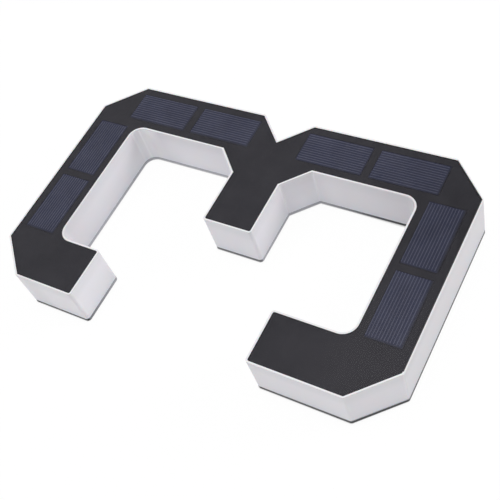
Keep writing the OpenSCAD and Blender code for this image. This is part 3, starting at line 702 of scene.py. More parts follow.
SIDE_TRACKS = (  # routes from the board's middle in millimetres, drawn on both sides
    ((1.8, 26.0), (1.8, 24.4), (3.4, 22.8), (7.1, 22.8), (8.7, 21.2),
     (8.7, -21.2), (7.1, -22.8), (3.4, -22.8), (1.8, -24.4), (1.8, -26.0)),
    ((0.6, 26.0), (0.6, 21.0), (4.5, 17.1), (4.5, 14.2)),
    ((3.1, 12.1), (3.8, 12.1), (4.6, 14.2), (5.4, 14.2)), ((7.0, 14.2), (8.7, 14.2)),
    ((3.1, 10.9), (3.8, 10.9), (4.6, 11.4), (5.4, 11.4)), ((7.0, 11.4), (8.7, 11.4)),
    ((3.1, 9.7), (3.8, 9.7), (4.6, 8.7), (5.4, 8.7)),
    ((3.1, 8.5), (3.8, 8.5), (4.6, 5.6), (5.4, 5.6)), ((7.0, 5.6), (8.7, 5.6)),
    ((2.6, 0.6), (6.2, 0.6)), ((6.0, -2.4), (6.0, -5.2)), ((2.8, -9.0), (4.6, -9.0), (5.8, -7.8)),
    ((2.8, -11.6), (5.8, -11.6)), ((0.6, -26.0), (0.6, -19.0), (4.4, -15.2), (5.8, -13.8)),
)
TRACK_W = 0.45 * MM
TRACK_GREEN = (0.022, 0.165, 0.068)
VIAS = ((2.6, 17.4), (3.6, 4.0), (7.4, 2.6), (7.3, -9.6), (3.0, -17.9), (0.9, 15.6))
VIA_WALL = ((0.42, 0.0), (0.38, 0.06), (0.24, 0.06), (0.2, 0.0), (0.42, 0.0))  # in millimetres
green_track = moulded(
    "green_track_mask", TRACK_GREEN, 0.28, grain=0.4, relief=0.003, uneven=0.08, edge=0.05
)
copper = bmesh.new()
ribbon = [
    (-TRACK_W / 2, 0), (TRACK_W / 2, 0),
    (TRACK_W / 2 - COPPER_T / 2, COPPER_T), (COPPER_T / 2 - TRACK_W / 2, COPPER_T),
]
for side in (-1, 1):
    for route in SIDE_TRACKS:
        sweep(copper, [board_middle + Vector((side * x, y, 0)) * MM for x, y in route], ribbon)
    for x, y in VIAS:
        centre = board_middle + Vector((side * x, y, 0)) * MM
        turn_profile(copper, in_metres(VIA_WALL), centre, sides=16, finish=1)
add_piece("board_tracks", copper, "housing", [], [green_track, tinned])

# Driver coil
# A ferrite drum with one even layer of enamelled copper wire wound in its waist. It stands on
# the board, soldered at its foot.
def circle(radius, sides):
    """Points on a circle, as an outline."""
    angles = [2 * math.pi * k / sides for k in range(sides)]
    return [(radius * math.cos(angle), radius * math.sin(angle)) for angle in angles]


DRUM_EASE = 0.15 * MM
FLANGE_EDGE = 0.55 * MM
WAIST_DEPTH = 1.0 * MM
WAIST_SLOPE = 0.1 * MM
WIRE_PITCH = 0.26 * MM
WIRE_R = 0.125 * MM
WIRE_OUT = 0.45 * MM  # from the waist to the wire's middle
ferrite = moulded("ferrite", (0.03, 0.03, 0.032), 0.6, grain=0.12, relief=0.01, edge=0.25)
enamel = metal("enamelled_copper", (0.55, 0.2, 0.07), 0.25, across=6000, along=500)
low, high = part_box("driver_coil")
middle = middle_of(low, high, low.z)
drum_r, drum_h = (high.x - low.x) / 2, high.z - low.z
waist = drum_r - WAIST_DEPTH
profile = [
    (0, 0), (drum_r - DRUM_EASE, 0), (drum_r, DRUM_EASE), (drum_r, FLANGE_EDGE),
    (waist, FLANGE_EDGE + WAIST_SLOPE), (waist, drum_h - FLANGE_EDGE - WAIST_SLOPE),
    (drum_r, drum_h - FLANGE_EDGE), (drum_r, drum_h - DRUM_EASE),
    (drum_r - DRUM_EASE, drum_h), (0, drum_h),
]
coil = bmesh.new()
turn_profile(coil, profile, middle, sides=40)
rounds = int((drum_h - 2 * FLANGE_EDGE - WAIST_SLOPE) / WIRE_PITCH)
for k in range(rounds):
    height = drum_h / 2 + (k - (rounds - 1) / 2) * WIRE_PITCH
    wire = [(waist + WIRE_OUT + x, height + z) for x, z in circle(WIRE_R, 8)]
    turn_profile(coil, wire + wire[:1], middle, sides=40, finish=1)
add_piece("wound_coil", coil, "housing", ["driver_coil"], [ferrite, enamel], crisp=35)

# Capacitor
# A drawn aluminium can with a rolled groove near its foot and a scored lid, crimped shut over a
# rubber plug and soldered to the board.
GROOVE_DEPTH = 0.35 * MM
LID_DEPTH = 0.1 * MM
drawn_can = metal("drawn_aluminium", (0.72, 0.72, 0.74), 0.25, across=3000)
low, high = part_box("capacitor")
can_r, can_h = (high.x - low.x) / 2, high.z - low.z
profile = [
    (0, 0), (can_r - 0.3 * MM, 0), (can_r, 0.3 * MM), (can_r, 1.2 * MM),
    (can_r - GROOVE_DEPTH, 1.5 * MM), (can_r - GROOVE_DEPTH, 1.8 * MM), (can_r, 2.1 * MM),
    (can_r, can_h - 0.5 * MM), (can_r - 0.15 * MM, can_h - 0.15 * MM), (can_r - 0.5 * MM, can_h),
    (can_r - 0.7 * MM, can_h - LID_DEPTH), (0, can_h - LID_DEPTH),
]
can = bmesh.new()
turn_profile(can, profile, middle_of(low, high, low.z), sides=40)
add_piece("can_capacitor", can, "housing", ["capacitor"], [drawn_can], crisp=50)


# Power button
# A round push button of satin plastic in the plate's collar, with a shallow dish for the finger.
# Its flange keeps it in, a silicone ring seals it, and a stem works the switch on the board.
BUTTON_R = 4.5 * MM
BUTTON_EASE = 0.35 * MM
FLANGE_R = 6.5 * MM
FLANGE_T = 1.2 * MM
DISH = 0.35 * MM
DISH_SHAPE = ((0, 1), (1.6, 0.86), (2.7, 0.55), (3.5, 0.16), (3.9, 0))  # radius, share of DISH
SEAL_W = 1.2 * MM
SEAL_ROOM = 0.05 * MM  # round the seal in its groove
button_plastic = moulded(
    "button_plastic", (0.15, 0.15, 0.158), 0.4, grain=0.25, relief=0.006, edge=0.3
)
low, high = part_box("power_button")
seal_low, seal_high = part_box("button_seal")
middle = middle_of(low, high, 0)
face_z, top_z = low.z, high.z
groove_low, groove_high = seal_low.z - SEAL_ROOM, seal_high.z + SEAL_ROOM
profile = [(radius * MM, face_z + DISH * share) for radius, share in DISH_SHAPE]
profile += [
    (BUTTON_R - BUTTON_EASE, face_z),
    (BUTTON_R - BUTTON_EASE * 0.3, face_z + BUTTON_EASE * 0.3),
    (BUTTON_R, face_z + BUTTON_EASE),
    (BUTTON_R, groove_low), (BUTTON_R - SEAL_W, groove_low),
    (BUTTON_R - SEAL_W, groove_high), (BUTTON_R, groove_high),
    (BUTTON_R, top_z - FLANGE_T),
    (FLANGE_R - 0.1 * MM, top_z - FLANGE_T), (FLANGE_R, top_z - FLANGE_T + 0.1 * MM),
    (FLANGE_R, top_z - 0.2 * MM), (FLANGE_R - 0.2 * MM, top_z), (0, top_z),
]
button = bmesh.new()
turn_profile(button, profile, middle, sides=64)
add_piece(
    "push_button", button, "button", ["power_button"], [button_plastic], crisp=35
)

# Button seal
# A moulded silicone ring with two lips, stretched into the button's groove. It slides with the
# button in the plate's collar and keeps the water out.
LIP = 0.18 * MM
SEAL_EASE = 0.1 * MM
TOUCHING = 0.0005 * MM  # points of a turned piece that lie closer than this are one
seal_outer = (seal_high.x - seal_low.x) / 2
seal_inner = BUTTON_R - SEAL_W + SEAL_ROOM
tall = seal_high.z - seal_low.z
profile = [
    (seal_inner, seal_low.z + SEAL_EASE), (seal_inner + SEAL_EASE, seal_low.z),
    (seal_outer - LIP, seal_low.z), (seal_outer, seal_low.z + tall * 0.2),
    (seal_outer - LIP, seal_low.z + tall * 0.5), (seal_outer, seal_low.z + tall * 0.8),
    (seal_outer - LIP, seal_high.z), (seal_inner + SEAL_EASE, seal_high.z),
    (seal_inner, seal_high.z - SEAL_EASE), (seal_inner, seal_low.z + SEAL_EASE),
]
seal = bmesh.new()
turn_profile(seal, profile, middle, sides=64)
bmesh.ops.remove_doubles(seal, verts=seal.verts, dist=TOUCHING)
seal_rubber = moulded("seal_rubber", (0.03, 0.03, 0.03), 0.6, grain=0.15, relief=0.003, edge=0.1)
add_piece("lip_seal", seal, "button", ["button_seal"], [seal_rubber])

# Switch plunger
# The stem of the push switch, a nylon pin with a domed end. It slides in the switch's case, and
# its foot rests on the button.
low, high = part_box("switch_plunger")
stem_r = (high.x - low.x) / 2
profile = [
    (0, low.z), (stem_r - 0.2 * MM, low.z), (stem_r, low.z + 0.2 * MM),
    (stem_r, high.z - 0.5 * MM), (stem_r * 0.85, high.z - 0.2 * MM),
    (stem_r * 0.5, high.z - 0.04 * MM), (0, high.z),
]
stem = bmesh.new()
turn_profile(stem, profile, middle, sides=32)
stem_nylon = moulded("stem_nylon", (0.03, 0.03, 0.032), 0.45, grain=0.12, relief=0.003, edge=0.15)
add_piece(
    "switch_stem", stem, "button", ["switch_plunger"], [stem_nylon], crisp=50
)


# Battery and its holder
# A round lithium cell in a blue shrink sleeve, held by its sides in an open black cradle, with a
# nub at the plus end and a sprung contact at the minus end.
holder_plastic = moulded("holder_plastic", (0.022, 0.022, 0.024), 0.5, grain=0.3, relief=0.01)
dress("battery_holder", holder_plastic)
soften("battery_holder", 0.25)
dress("battery_contact_plus", tinned)
soften("battery_contact_plus", 0.1, rings=1)
SLEEVE_BLUE = (0.02, 0.09, 0.36)
SLEEVED, BARE = 0, 1  # finishes of the cell
sleeve = moulded("sleeve_film", SLEEVE_BLUE, 0.28, grain=1.5, relief=0.01, uneven=0.1, edge=0.3)
can_steel = metal("nickelled_steel", (0.66, 0.65, 0.63), 0.22)
low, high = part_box("battery_cell")
cell_r, cell_length = (high.x - low.x) / 2, high.y - low.y
outline = [  # radius and height of each point, and the finish of the face that ends there
    (0, 0, BARE),
    (cell_r - 2.2 * MM, 0, BARE),
    (cell_r - 2.0 * MM, -0.02 * MM, SLEEVED),
    (cell_r - 0.8 * MM, 0.0, SLEEVED),
    (cell_r - 0.2 * MM, 0.3 * MM, SLEEVED),
    (cell_r, 1.0 * MM, SLEEVED),
    (cell_r, cell_length - 4.2 * MM, SLEEVED),
    (cell_r - 0.5 * MM, cell_length - 3.6 * MM, SLEEVED),
    (cell_r - 0.5 * MM, cell_length - 3.2 * MM, SLEEVED),
    (cell_r, cell_length - 2.6 * MM, SLEEVED),
    (cell_r, cell_length - 1.3 * MM, SLEEVED),
    (cell_r - 0.4 * MM, cell_length - 0.8 * MM, SLEEVED),
    (cell_r - 1.5 * MM, cell_length - 0.7 * MM, SLEEVED),
    (cell_r - 1.8 * MM, cell_length - 1.1 * MM, BARE),
    (3.4 * MM, cell_length - 1.1 * MM, BARE),
    (3.1 * MM, cell_length - 0.2 * MM, BARE),
    (2.8 * MM, cell_length, BARE),
    (0, cell_length, BARE),
]
round_cell = bmesh.new()
for before, after in zip(outline, outline[1:]):
    turn_profile(round_cell, [before[:2], after[:2]], Vector(), sides=48, finish=after[2])
bmesh.ops.remove_doubles(round_cell, verts=round_cell.verts, dist=TOUCHING)
foot = Vector(((low.x + high.x) / 2, low.y, (low.z + high.z) / 2))
lay_down = Matrix.Translation(foot) @ Matrix.Rotation(-math.pi / 2, 4, "X")
bmesh.ops.transform(round_cell, matrix=lay_down, verts=round_cell.verts)
add_piece(
    "sleeved_battery", round_cell, "housing", ["battery_cell"],
    [sleeve, can_steel], crisp=50,
)

# Minus contact
# A tinned steel plate, held in the cradle's end, with a conical spring of steel wire. The
# spring's small end presses on the cell.
CONTACT_T = 0.5 * MM
CONTACT_EASE = 0.12 * MM
SPRING_WIRE = 0.35 * MM
SPRING_FOOT_R = 3.7 * MM
SPRING_TAPER = 1.9 * MM
SPRING_TURNS, SPRING_STEPS = 4, 24
low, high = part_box("battery_contact_minus")
spring = bmesh.new()
eased_block(spring, low, Vector((high.x, low.y + CONTACT_T, high.z)), CONTACT_EASE)
room = high.y - low.y - CONTACT_T - 2 * SPRING_WIRE
rows = []
for step in range(SPRING_TURNS * SPRING_STEPS + 1):
    share = step / (SPRING_TURNS * SPRING_STEPS)
    angle = 2 * math.pi * step / SPRING_STEPS
    radius = SPRING_FOOT_R - SPRING_TAPER * share
    out = Vector((math.cos(angle), 0, math.sin(angle)))
    centre = (low + high) / 2
    centre.y = low.y + CONTACT_T + SPRING_WIRE + room * share
    rows.append([
        spring.verts.new(centre + out * (radius + x) + Vector((0, y, 0)))
        for x, y in circle(SPRING_WIRE, 8)
    ])
skin(spring, rows, smooth=True)
add_piece(
    "sprung_contact", spring, "housing", ["battery_contact_minus"], [tinned]
)


# Leads
# Thin stranded wire in soft sleeves: white to the light boards, red to the battery and black to
# the panel. Their stripped ends are soldered on the light boards, or go into a socket.
LEAD_R = 0.7 * MM
LEAD_SIDES = 8  # points on each ring of the CAD leads
RING_SLACK = 0.02 * MM  # how far such a ring's edge may be from its right length
BEND_REACH = 6 * MM
BEND_STEP = 0.05 * MM  # points of a bend lie at least this far apart
BARE_LENGTH = 1.4 * MM
BARE_R = 0.32 * MM
SOLDER_BLOB = ((0, 0), (1.25, 0), (1.15, 0.25), (0.85, 0.55), (0.5, 0.8), (0, 0.9))  # in mm


def routes_of(node):
    """The middle lines of a CAD node's leads, from the rings of points that these are made of."""
    shape = bmesh.new()
    shape.from_mesh(cad[node].data)
    bmesh.ops.remove_doubles(shape, verts=shape.verts, dist=WELD_REACH)
    step = 2 * LEAD_R * math.sin(math.pi / LEAD_SIDES)
    ring_edges = {edge for edge in shape.edges if abs(edge.calc_length() - step) < RING_SLACK}
    ring_by_point, centres = {}, []
    for start in shape.verts:
        if start in ring_by_point:
            continue
        ring = [start]
        ring_by_point[start] = len(centres)
        for point in ring:
            for edge in point.link_edges:
                other = edge.other_vert(point)
                if edge in ring_edges and other not in ring_by_point:
                    ring_by_point[other] = len(centres)
                    ring.append(other)
        centres.append(sum((point.co for point in ring), Vector()) / len(ring))
    beside = [set() for _ in centres]
    for edge in shape.edges:
        first, last = (ring_by_point[point] for point in edge.verts)
        if first != last:
            beside[first].add(last)
            beside[last].add(first)
    shape.free()
    routes, used = [], set()
    for start in range(len(centres)):
        if start in used or len(beside[start]) != 1:
            continue
        line = [start]
        while (onward := beside[line[-1]] - set(line)):
            line.append(onward.pop())
        used.update(line)
        routes.append([centres[k] for k in line])
    return routes


def eased_route(route, reach, steps=7):
    """A route with its corners drawn round, each from at most this far before it."""
    points = [route[0]]
    for before, corner, after in zip(route, route[1:], route[2:]):
        first = corner + (before - corner).normalized() * min(reach, (before - corner).length / 2)
        last = corner + (after - corner).normalized() * min(reach, (after - corner).length / 2)
        for step in range(steps + 1):
            share = step / steps
            spot = first * (1 - share) ** 2 + corner * 2 * share * (1 - share) + last * share**2
            if (spot - points[-1]).length > BEND_STEP:
                points.append(spot)
    return points + [route[-1]]


def cut_back(route, length):
    """Shortens the last leg of a route, by at most three fifths of it."""
    last = route[-1] - route[-2]
    return route[:-1] + [route[-1] - last.normalized() * min(length, last.length * 0.6)]


board_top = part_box("led_board_top")[1].z
solder = bmesh.new()
for node, piece, slot, colour in (
    ("led_leads", "white_leads", "white_lead", (0.66, 0.66, 0.64)),
    ("battery_leads", "red_leads", "red_lead", (0.42, 0.015, 0.012)),
    ("panel_leads", "black_leads", "black_lead", (0.02, 0.02, 0.02)),
):
    wires = bmesh.new()
    for route in routes_of(node):
        line = eased_route(route, BEND_REACH)
        sleeve_line = line
        for _ in range(2):  # one end, then the other
            sleeve_line = sleeve_line[::-1]
            if sleeve_line[-1].z < board_top + 2 * LEAD_R:
                spot = Vector((sleeve_line[-1].x, sleeve_line[-1].y, board_top))
                turn_profile(solder, in_metres(SOLDER_BLOB), spot, sides=20)
                sleeve_line = cut_back(sleeve_line, BARE_LENGTH)
        sweep(wires, line, circle(BARE_R, 8), finish=1, smooth=True)
        sweep(wires, sleeve_line, circle(LEAD_R, 12), smooth=True)
    sleeve_soft = moulded(
        piece + "_sleeve", colour, 0.45, grain=0.3, relief=0.004, uneven=0.05, edge=0.2
    )
    add_piece(piece, wires, "housing", [node], [sleeve_soft, tinned])
add_piece("lead_solder", solder, "housing", [], [tinned])


# Side wall
# One deep frame of opal plastic, bent warm round the figure's outline and screwed to the plate.
# Painted shade darkens it in some places and painted light lightens it in others. Painted shade
# darkens its foot, and a band under the rim where the shelf that carries the panel stands behind
# it.
OPAL_DEPTH = 28.0
# Painted shade at the foot and in the band under the rim, and a painted highlight on the rim's top
OPAL_TONES = (  # height above the back in millimetres, and the colour there
    (2.0, (0.70, 0.71, 0.78)),
    (7.0, (0.77, 0.765, 0.81)),
    (14.0, (0.785, 0.775, 0.82)),
    (20.0, (0.785, 0.775, 0.82)),
    (23.5, (0.74, 0.735, 0.775)),
    (26.9, (0.72, 0.72, 0.76)),
    (27.6, (0.79, 0.785, 0.81)),
    (28.0, (0.86, 0.855, 0.875)),
)
OPAL_CLOUD = (0.79, 0.76, 0.79)
CLOUD_SIZE, CLOUD_SHARE = 35 * MM, 0.5
PAINTED_SHADE_SHARE = (0.783, 0.781, 0.777)  # what painted shade leaves of the tone
PAINTED_LIGHT_OPAL = (0.95, 0.95, 0.99)
PAINTED_LIGHT_FROM, PAINTED_LIGHT_TO = 24 * MM, 9 * MM  # heights, from no painted light to all of it
FOOT_Y = -99 * MM  # beyond this, painted shade darkens the faces that look towards the foot
FOOT_WAY = (0.6, -0.8, 0)
FOOT_FROM, FOOT_TO = 0.3, 0.7  # how far a face looks that way, from no painted shade to all of it
PAINTED_OPAL_PATCHES = (  # painted shade or light, its middle and reach in plan in millimetres, and its strength
    ("painted_shade", (41.8, -89.6), (10, 50), 0.75),
    ("painted_shade", (-41.8, 89.6), (60, 9), 0.5),
    ("painted_light", (35.0, -22.0), (25, 25), 0.6),
    ("painted_light", (41.8, 89.6), (30, 30), 0.5),
    ("painted_light", (41.8, 58.0), (9, 60), 0.45),
)


def soft_patch(tree, spot, middle, reach, strength, full=0.0):
    """A patch round a place in plan, in millimetres, that fades to 0 at its reach along X and Y.
    It has its full strength up to a share of that reach."""
    middle = (middle[0] * MM, middle[1] * MM, 0)
    scale = (1 / (reach[0] * MM), 1 / (reach[1] * MM), 0)
    away = vector_calc(tree, "MULTIPLY", vector_calc(tree, "SUBTRACT", spot, middle), scale)
    return fade(tree, vector_calc(tree, "LENGTH", away), full, 1.0, strength, 0.0)


opal, tree, shader = start_material(
    "opal_plastic", Roughness=0.42, Subsurface_Weight=0.15, Subsurface_Scale=0.002,
    Specular_IOR_Level=0.45,
)
spot = put(tree, "TexCoord").outputs["Object"]
place = put(tree, "SeparateXYZ", {0: spot}).outputs
plan = put(tree, "CombineXYZ", {0: place["X"], 1: place["Y"]}).outputs[0]
normal = put(tree, "NewGeometry").outputs["Normal"]
ramp = put(tree, "ValToRGB", {0: fade(tree, place["Z"], 0.0, OPAL_DEPTH * MM)})
stops = ramp.color_ramp.elements
while len(stops) < len(OPAL_TONES):
    stops.new(0.5)
for stop, (level, colour) in zip(stops, OPAL_TONES):
    stop.position = level / OPAL_DEPTH
    stop.color = (*colour, 1)
cloud = place_group(tree, mottle, Size=CLOUD_SIZE, Low=0.0, High=CLOUD_SHARE)
body = mix_colours(tree, cloud, ramp.outputs[0], OPAL_CLOUD)
# Painted shade on the faces that look towards the foot, and painted shade and light in patches
at_foot = calc(tree, "LESS_THAN", place["Y"], FOOT_Y)
painted_shade = fade(tree, vector_calc(tree, "DOT_PRODUCT", normal, FOOT_WAY), FOOT_FROM, FOOT_TO)
uneven = {"painted_shade": calc(tree, "MULTIPLY", painted_shade, at_foot)}
for kind, middle, reach, strength in PAINTED_OPAL_PATCHES:
    patch = soft_patch(tree, spot, middle, reach, strength)
    uneven[kind] = calc(tree, "MAXIMUM", uneven[kind], patch) if kind in uneven else patch
painted_light = calc(tree, "MULTIPLY", uneven["painted_light"], fade(tree, place["Z"], PAINTED_LIGHT_FROM, PAINTED_LIGHT_TO))
body = mix_colours(tree, uneven["painted_shade"], body, vector_calc(tree, "MULTIPLY", body, PAINTED_SHADE_SHARE))
body = mix_colours(tree, painted_light, body, PAINTED_LIGHT_OPAL)

# The bends
# Painted highlights: a fine light line at each crease of the waist, two on the upper bay's far
# round corner with a strip of painted light beside them, and along the edges.
BAY_X, BAY_Y, INNER_R = 41.8, 89.6, 7.2  # the bays' inner corners, and the radius they bend to
CREASES = ((41.8, 28.6), (28.4, 15.2))  # on both sides of the waist
CREASE_HIGHLIGHT = 0.4
CORNER_HIGHLIGHTS = ((38, 1.0), (74, 0.35))  # degrees round the corner, and strength
HIGHLIGHT_LINE = (0.2, 1.1)  # millimetres from a line's middle to where it starts to fade and to its end
LIGHT_STRIP = (2.0, 8.5)  # the same for the strip beside the corner
LIGHT_STRIP_STRENGTH = 0.75
PAINTED_HIGHLIGHT = (0.96, 0.95, 0.975)
EDGE_WIDTH = 1.8 * MM
EDGE_HIGHLIGHT, RIM_HIGHLIGHT = 0.5, 0.22  # shares of that tone along the upright edges and the rim's
HIGHLIGHT_FROM, HIGHLIGHT_TO = 23 * MM, 26 * MM  # heights between which one share goes over to the other
# Painted highlight lines at the creases and the corner, and painted light in the strip beside it
highlight_marks = [(x, side * y, HIGHLIGHT_LINE, CREASE_HIGHLIGHT) for x, y in CREASES for side in (-1, 1)]
highlight_marks.append((BAY_X, BAY_Y - INNER_R, LIGHT_STRIP, LIGHT_STRIP_STRENGTH))
for degrees, strength in CORNER_HIGHLIGHTS:
    turn = math.radians(degrees)
    x = BAY_X - INNER_R + INNER_R * math.cos(turn)
    y = BAY_Y - INNER_R + INNER_R * math.sin(turn)
    highlight_marks.append((x, y, HIGHLIGHT_LINE, strength))
lines = None
for x, y, (start, end), strength in highlight_marks:
    away = vector_calc(tree, "DISTANCE", plan, (x * MM, y * MM, 0))
    line = fade(tree, away, start * MM, end * MM, strength, 0.0)
    lines = calc(tree, "MAXIMUM", lines, line) if lines else line
# Painted highlights along the upright edges and the rim
edges = place_group(tree, edge_band, Width=EDGE_WIDTH)
edge_highlight = fade(tree, place["Z"], HIGHLIGHT_FROM, HIGHLIGHT_TO, EDGE_HIGHLIGHT, RIM_HIGHLIGHT)
edges = calc(tree, "MULTIPLY", edges, edge_highlight)
body = mix_colours(tree, calc(tree, "MAXIMUM", lines, edges), body, PAINTED_HIGHLIGHT)

# The rim
# The wall's top edge, cut and eased. Painted shade greys it on the sides that look towards the
# hooks and the foot, and a painted highlight whitens it on the sides that look away from them.
RIM_FOOT = 27.3 * MM
RIM_EASE = 0.7 * MM
RIM_SHADE_WAY = (-0.7071, -0.7071, 0)
SHADED_RIM, HIGHLIT_RIM = (0.70, 0.695, 0.72), (0.98, 0.98, 0.985)
RIM_SHADE_FROM, RIM_SHADE_TO = 0.05, 0.4  # how far the eased edge looks that way, from no painted shade to all of it
RIM_HIGHLIGHT_FROM, RIM_HIGHLIGHT_TO = -0.1, -0.5  # the same for the face itself, from no painted highlight to all of it
# Painted shade on the sides towards the hooks and the foot, a painted highlight on the others
on_rim = calc(tree, "GREATER_THAN", place["Z"], RIM_FOOT)
eased = put(tree, "Bevel", {"Radius": RIM_EASE}, samples=4).outputs[0]
for looking, start, end, tone in (
    (eased, RIM_SHADE_FROM, RIM_SHADE_TO, SHADED_RIM),
    (normal, RIM_HIGHLIGHT_FROM, RIM_HIGHLIGHT_TO, HIGHLIT_RIM),
):
    share = fade(tree, vector_calc(tree, "DOT_PRODUCT", looking, RIM_SHADE_WAY), start, end)
    body = mix_colours(tree, calc(tree, "MULTIPLY", share, on_rim), body, tone)

# The shadow gap
# Painted shadow: at the corner of the lower hook a thin dark line is painted on the wall's foot,
# just above the plate.
GAP_SHADOW_COLOUR = (0.12, 0.12, 0.135)
GAP_MIDDLE, GAP_REACH, GAP_STRENGTH = (-72.0, -104.0), (40, 75), 1.1
GAP_TOP, GAP_FOOT = 3.1 * MM, 2.3 * MM
# Painted shadow on the wall's foot
gap_shadow = soft_patch(tree, spot, GAP_MIDDLE, GAP_REACH, GAP_STRENGTH)
gap_shadow = calc(tree, "MULTIPLY", gap_shadow, fade(tree, place["Z"], GAP_TOP, GAP_FOOT))
body = mix_colours(tree, gap_shadow, body, GAP_SHADOW_COLOUR)

# The seam
# The rim's inner edge, where the panel stands close, is coloured black. Along the foot and its cut
# corner beyond the bay the black reaches over the rim, nearly out to the outline.
SEAM_BLACK = (0.02, 0.02, 0.022)
SEAM_REACH = 0.5 * MM
SEAM_FROM, SEAM_TO = 0.95, 0.7  # how open the place is, from no black to all of it
LAP_FROM, LAP_TO = 0.5 * MM, 0.7 * MM  # in from the outline, from no black to all of it
LAP_X = -50 * MM  # it reaches over the rim from here, away from the hook
FOOT_OUT_Y = 120 * MM  # the outline's foot lies so far from the figure's middle
CUT_WAY, CUT_OUT = (0.7071, -0.7071, 0), 121.2 * MM  # its cut corner looks this way, so far out
openness = put(tree, "AmbientOcclusion", {"Distance": SEAM_REACH}, samples=6).outputs["AO"]
seam = fade(tree, openness, SEAM_FROM, SEAM_TO)
from_cut = calc(tree, "SUBTRACT", CUT_OUT, vector_calc(tree, "DOT_PRODUCT", plan, CUT_WAY))
from_foot = calc(tree, "ADD", place["Y"], FOOT_OUT_Y)
lap = fade(tree, calc(tree, "MINIMUM", from_cut, from_foot), LAP_FROM, LAP_TO)
lap = calc(tree, "MULTIPLY", lap, at_foot)
lap = calc(tree, "MULTIPLY", lap, calc(tree, "GREATER_THAN", place["X"], LAP_X))
seam = calc(tree, "MULTIPLY", calc(tree, "MAXIMUM", seam, lap), on_rim)
body = mix_colours(tree, seam, body, SEAM_BLACK)
tree.links.new(body, shader.inputs["Base Color"])

# The surface
# Satin as it came from the roller, with a slight ripple. Its edges are broken by hand.
RIPPLE_SIZE, RIPPLE_RELIEF, RIPPLE_STRENGTH = 1.2 * MM, 0.004 * MM, 0.25
ripple = place_group(tree, mottle, Size=RIPPLE_SIZE)
ripple = {"Strength": RIPPLE_STRENGTH, "Distance": RIPPLE_RELIEF, "Height": ripple}
tree.links.new(put(tree, "Bump", ripple).outputs[0], shader.inputs["Normal"])
dress("side_wall", opal)
soften("side_wall", 0.3, rings=3)


# Reflector and cell ribbons
# A white sheet under the panel sends the lamps' light out through the wall. Flat tinned ribbons
# over it join the eight cells in one row.
white_sheet = moulded(
    "reflector_sheet", (0.8, 0.8, 0.8), 0.5, grain=0.5, relief=0.004, uneven=0.02
)
dress("reflector", white_sheet)
soften("reflector", 0.1, rings=1)
dress("cell_links", tinned)


# Face panel
# A black plastic panel in the rim, milled with a pocket for each cell. Its front has a fine
# satin grain.
PANEL_COLOUR = (0.0215, 0.0203, 0.0268)
panel = moulded(
    "panel_plastic", PANEL_COLOUR, 0.5, grain=0.3, relief=0.0006, patch=25, uneven=0.06,
    edge=0.1, shine=0.25,
)
dress("face_panel", panel)
soften("face_panel", 0.08, rings=1)


# Solar cells
# Eight dark blue silicon cells with printed fingers along their length, laid by hand in the
# panel's pockets under the film. They fade to black at their borders, a little off the middle.
CELL_BLUE = (0.0215, 0.0245, 0.055)
CELL_VIOLET = (0.0265, 0.0275, 0.056)
CELL_BORDER = (0.0225, 0.0225, 0.034)
FADE_FROM, FADE_TO = -0.6 * MM, 0.9 * MM  # inside the printed area
TONE_SIZE, SHEEN_PATCH = 5 * MM, 1.5 * MM
GLOSSY, MATT = 0.36, 0.46
CELLS = {  # how far each cell's printing lies from its middle, along x and y in millimetres
    "top_left": (0.6, 0.3), "top_right": (0.0, 0.15),
    "spine_1": (0.8, 0.6), "spine_2": (0.8, 0.6), "spine_3": (0.25, 0.1), "spine_4": (0.15, 0.4),
    "bottom_right": (0.2, 0.8), "bottom_left": (0.6, 0.8),
}


def silicon(name, size, lay):
    """Silicon under resin, for a cell of this size whose printing lies off its middle."""
    made, tree, shader = start_material(name, Roughness=0.4, Specular_IOR_Level=0.25)
    share = put(tree, "SeparateXYZ", {0: put(tree, "TexCoord").outputs["Generated"]}).outputs
    inset = None
    for axis, long, off in zip("XY", size, lay):
        side = calc(tree, "ABSOLUTE", calc(tree, "SUBTRACT", share[axis], 0.5 + off / long))
        room = calc(tree, "MULTIPLY", calc(tree, "SUBTRACT", 0.5, side), long)
        inset = calc(tree, "MINIMUM", inset, room) if inset else room
    inner = {"Value": inset, "From Min": FADE_FROM, "From Max": FADE_TO}
    inner = put(tree, "MapRange", inner, interpolation_type="SMOOTHSTEP").outputs[0]
    body = mix_colours(tree, place_group(tree, mottle, Size=TONE_SIZE), CELL_BLUE, CELL_VIOLET)
    tree.links.new(mix_colours(tree, inner, CELL_BORDER, body), shader.inputs["Base Color"])
    sheen = place_group(tree, mottle, Size=SHEEN_PATCH, Low=GLOSSY, High=MATT)
    tree.links.new(sheen, shader.inputs["Roughness"])
    return made


